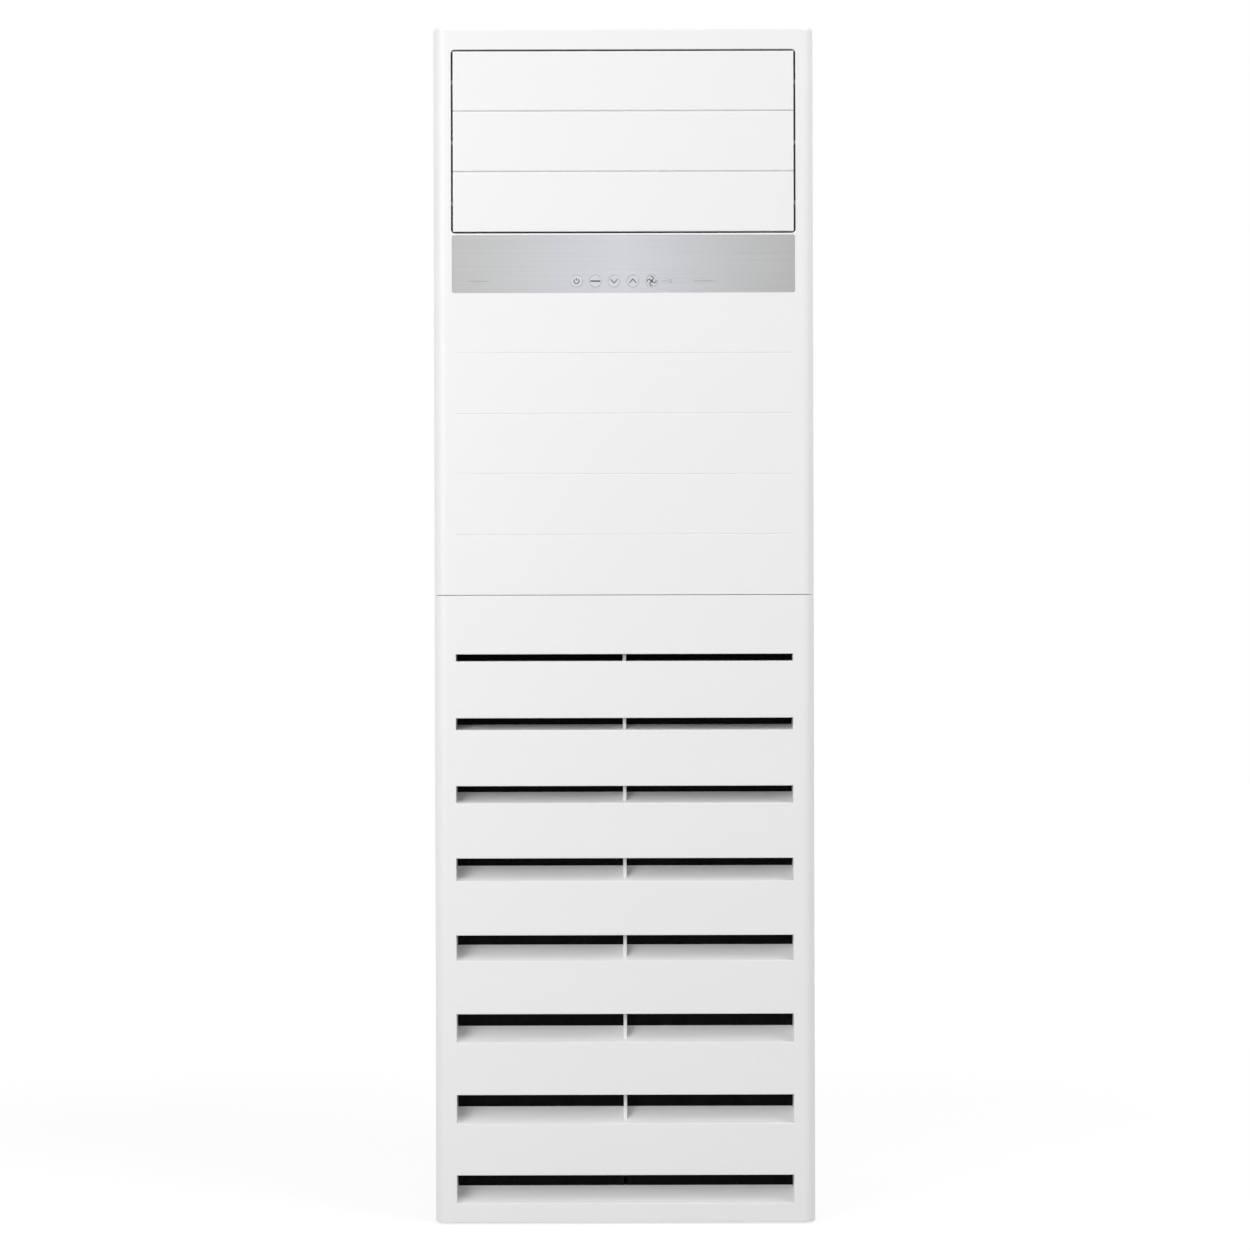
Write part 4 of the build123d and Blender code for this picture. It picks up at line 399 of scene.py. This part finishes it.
def arc(radius, start, end, steps=24):
    """Points (x, z) on an arc about the origin, from start to end in degrees."""
    angles = [math.radians(start + (end - start) * i / steps) for i in range(steps + 1)]
    return [(radius * math.cos(a), radius * math.sin(a)) for a in angles]


def raised(path, rise):
    return [(x, z + rise) for x, z in path]


def turned(path, angle):
    c, s = math.cos(math.radians(angle)), math.sin(math.radians(angle))
    return [(c * x - s * z, s * x + c * z) for x, z in path]


def level_line(left, right):
    return [(left, 0), (right, 0)]


def stroke_edges(path, width):
    """Both edges of a line of some width along a path, mitred at its corners."""
    closed = math.dist(path[0], path[-1]) < TOUCH
    edges = []
    for i, (x, z) in enumerate(path):
        before = path[i - 1] if i else (path[-2] if closed else None)
        after = path[i + 1] if i + 1 < len(path) else (path[1] if closed else None)
        ways = []
        if before:
            ways.append(Vector((x - before[0], z - before[1])).normalized())
        if after:
            ways.append(Vector((after[0] - x, after[1] - z)).normalized())
        way = sum(ways, Vector((0, 0))).normalized()
        reach = width / 2 / max(MITRE_LEAST, way.dot(ways[0]))
        side = Vector((-way.y, way.x)) * reach
        edges.append(((x + side.x, z + side.y), (x - side.x, z - side.y)))
    return edges


def mark(name, paths, centre, body, finish, width):
    """Thin printed lines on the face at centre. Each point of a path gives four corners."""
    vertices, faces = [], []
    for path in paths:
        first = len(vertices)
        edges = stroke_edges(path, width)
        for sides in edges:
            for x, z in sides:
                vertices.append((centre.x + x, centre.y - INK, centre.z + z))
                vertices.append((centre.x + x, centre.y + INK, centre.z + z))
        for i in range(len(edges) - 1):
            a, b = first + 4 * i, first + 4 * (i + 1)
            faces.append((a, b, b + 2, a + 2))
            faces.append((a + 1, a + 3, b + 3, b + 1))
            faces.append((a, a + 1, b + 1, b))
            faces.append((a + 2, b + 2, b + 3, a + 3))
        last = first + 4 * (len(edges) - 1)
        faces.append((first, first + 2, first + 3, first + 1))
        faces.append((last, last + 1, last + 3, last + 2))
    piece = mesh_object(name, vertices, faces, finish.material)
    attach(piece, body)


def face_centre(node):
    """Middle of a node's front face."""
    low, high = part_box(node)
    return Vector(((low.x + high.x) / 2, low.y, (low.z + high.z) / 2))


def power_icon():
    """A ring that is open at the top, with an upright line in the gap."""
    gap, radius = 38, 0.7 * ICON_R
    ring = arc(radius, 90 + gap, 450 - gap)
    return [ring, [(0, 0.25 * radius), (0, 1.25 * radius)]]


def bar_icon():
    return [level_line(-1.4 * ICON_R, 1.4 * ICON_R)]


def chevron_icon(way):
    """An arrow head that points up (1) or down (-1)."""
    reach, rise = ICON_R, 0.55 * ICON_R * way
    return [[(-reach, -rise), (0, rise), (reach, -rise)]]


def fan_icon():
    """Four swept blades about a small hub."""
    blade = raised(arc(0.5 * ICON_R, -90, 120, steps=12), 0.75 * ICON_R)
    hub = arc(0.22 * ICON_R, 0, 360, steps=12)
    return [hub] + [turned(blade, angle) for angle in (0, 90, 180, 270)]


def button_marks():
    icons = {
        "power_button": (power_icon(), ICON_LINE),
        "mode_button": (bar_icon(), BAR_LINE),
        "down_button": (chevron_icon(-1), ICON_LINE),
        "up_button": (chevron_icon(1), ICON_LINE),
        "fan_button": (fan_icon(), ICON_LINE),
    }
    for node, (paths, width) in icons.items():
        mark(f"{node}_icon", paths, face_centre(node), node, ink_grey, width)


def plate_marks():
    """Faint marks on the plate: an indicator right of the buttons and a short line at each side."""
    plate = face_centre("control_plate")
    row = face_centre("power_button").z
    pitch = face_centre("mode_button").x - face_centre("power_button").x
    sixth_place = Vector((face_centre("fan_button").x + pitch, plate.y, row))
    indicator = [arc(0.4 * ICON_R, 0, 360), level_line(-2.2 * ICON_R, -0.9 * ICON_R)]
    mark("indicator_mark", indicator, sixth_place, "cabinet", ink_faint, HAIR_LINE)
    short = level_line(-SIDE_MARK_HALF, SIDE_MARK_HALF)
    for name, x in SIDE_MARKS.items():
        mark(name, [short], Vector((x, plate.y, row)), "cabinet", ink_faint, HAIR_LINE)


# ---- Plugs ----


def hinge_plug(name, side, steps=24):
    """Round plug, flush with the rounded corner of the grille on the left (-1) or right (1)."""
    low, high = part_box("intake_grille")
    vertices = []
    for depth in (PLUG_DEPTH, 0):
        for i in range(steps):
            angle = 2 * math.pi * i / steps
            back = BORE_BACK + BORE_R * math.cos(angle)
            rounding = CORNER_R - math.sqrt(CORNER_R**2 - (CORNER_R - back) ** 2)
            reach = high.x - rounding - depth
            vertices.append((side * reach, low.y + back, BORE_HEIGHT + BORE_R * math.sin(angle)))
    faces = [tuple(range(steps - 1, -1, -1)), tuple(range(steps, 2 * steps))]
    for i in range(steps):
        after = (i + 1) % steps
        faces.append((i, after, steps + after, steps + i))
    if side < 0:
        faces = [face[::-1] for face in faces]
    plug = mesh_object(name, vertices, faces, finishes["white_shell"].material)
    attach(plug, "intake_grille")


# ---- Studio ----


def shown_to_the_camera(tree, seen_shader, base_shader, share):
    """Mixes in a share of the seen shader, for camera, glossy and transmission rays only."""
    path = tree.nodes.new("ShaderNodeLightPath")
    seen = path.outputs["Is Camera Ray"]
    for ray in ("Is Glossy Ray", "Is Transmission Ray"):
        either = tree.nodes.new("ShaderNodeMath")
        either.operation = "MAXIMUM"
        tree.links.new(seen, either.inputs[0])
        tree.links.new(path.outputs[ray], either.inputs[1])
        seen = either.outputs[0]
    part = tree.nodes.new("ShaderNodeMath")
    part.operation = "MULTIPLY"
    part.inputs[1].default_value = share
    tree.links.new(seen, part.inputs[0])
    mix = tree.nodes.new("ShaderNodeMixShader")
    tree.links.new(part.outputs[0], mix.inputs[0])
    tree.links.new(base_shader, mix.inputs[1])
    tree.links.new(seen_shader, mix.inputs[2])
    return mix.outputs[0]


def white_world(horizon, zenith):
    """Soft light that grows from the horizon up; the camera sees plain white."""
    world = bpy.data.worlds.new("studio")
    bpy.context.scene.world = world
    world.use_nodes = True
    tree = world.node_tree
    soft = tree.nodes["Background"]
    soft.inputs["Color"].default_value = (1, 1, 1, 1)
    split = tree.nodes.new("ShaderNodeSeparateXYZ")
    place = tree.nodes.new("ShaderNodeTexCoord")
    tree.links.new(place.outputs["Generated"], split.inputs["Vector"])
    level = map_range(tree, split.outputs["Z"], horizon, zenith)
    tree.links.new(level, soft.inputs["Strength"])
    bright = tree.nodes.new("ShaderNodeBackground")
    bright.inputs["Color"].default_value = (1, 1, 1, 1)
    bright.inputs["Strength"].default_value = 1.0
    shown = shown_to_the_camera(tree, bright.outputs[0], soft.outputs[0], share=1.0)
    tree.links.new(shown, tree.nodes["World Output"].inputs["Surface"])


def floor_material():
    """Pale grey that also glows for the camera, a little less near the object."""
    material = bpy.data.materials.new("floor")
    material.use_nodes = True
    tree = material.node_tree
    shader = tree.nodes["Principled BSDF"]
    shader.inputs["Base Color"].default_value = (FLOOR_TONE, FLOOR_TONE, FLOOR_TONE, 1)
    shader.inputs["Roughness"].default_value = 0.8
    place = tree.nodes.new("ShaderNodeTexCoord")
    distance = tree.nodes.new("ShaderNodeVectorMath")
    distance.operation = "LENGTH"
    tree.links.new(place.outputs["Object"], distance.inputs[0])
    away = distance.outputs["Value"]
    level = map_range(tree, away, GLOW_AT_NEAR, GLOW_AT_FAR, GLOW_NEAR, GLOW_FAR)
    glow = tree.nodes.new("ShaderNodeEmission")
    tree.links.new(level, glow.inputs["Strength"])
    shown = shown_to_the_camera(tree, glow.outputs[0], shader.outputs[0], GLOW_SHARE)
    tree.links.new(shown, tree.nodes["Material Output"].inputs["Surface"])
    return material


def pale_floor():
    half = FLOOR_HALF
    corners = [(-half, -half, 0), (half, -half, 0), (half, half, 0), (-half, half, 0)]
    floor = mesh_object("floor", corners, [(0, 1, 2, 3)], floor_material())


def soft_box(name, place, size, power):
    """Square area lamp at place, facing the target of the lamps."""
    lamp = bpy.data.lights.new(name, "AREA")
    lamp.shape = "SQUARE"
    lamp.size = size
    lamp.energy = power
    box = bpy.data.objects.new(name, lamp)
    bpy.context.scene.collection.objects.link(box)
    box.location = place
    aim = Vector(LAMP_TARGET) - Vector(place)
    box.rotation_euler = aim.to_track_quat("-Z", "Y").to_euler()


def photo_camera():
    """Level view straight at the front."""
    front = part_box("front_panel")[0].y
    data = bpy.data.cameras.new("camera")
    data.sensor_fit = "HORIZONTAL"
    data.angle = 2 * math.atan(VIEW_WIDTH / 2 / VIEW_DISTANCE)
    camera = bpy.data.objects.new("camera", data)
    bpy.context.scene.collection.objects.link(camera)
    camera.location = (VIEW_SIDE, front - VIEW_DISTANCE, VIEW_HEIGHT)
    camera.rotation_euler = (math.radians(90), math.radians(VIEW_ROLL), 0)
    bpy.context.scene.camera = camera


dress_nodes()
button_marks()
plate_marks()
hinge_plug("hinge_plug_left", -1)
hinge_plug("hinge_plug_right", 1)
white_world(horizon=0.12, zenith=0.95)
pale_floor()
soft_box("left", place=(-2.2, -2.75, 2.0), size=2.0, power=58)
soft_box("right", place=(3.0, -2.2, 4.5), size=2.4, power=107)
photo_camera()
bpy.context.scene.view_settings.view_transform = "Standard"
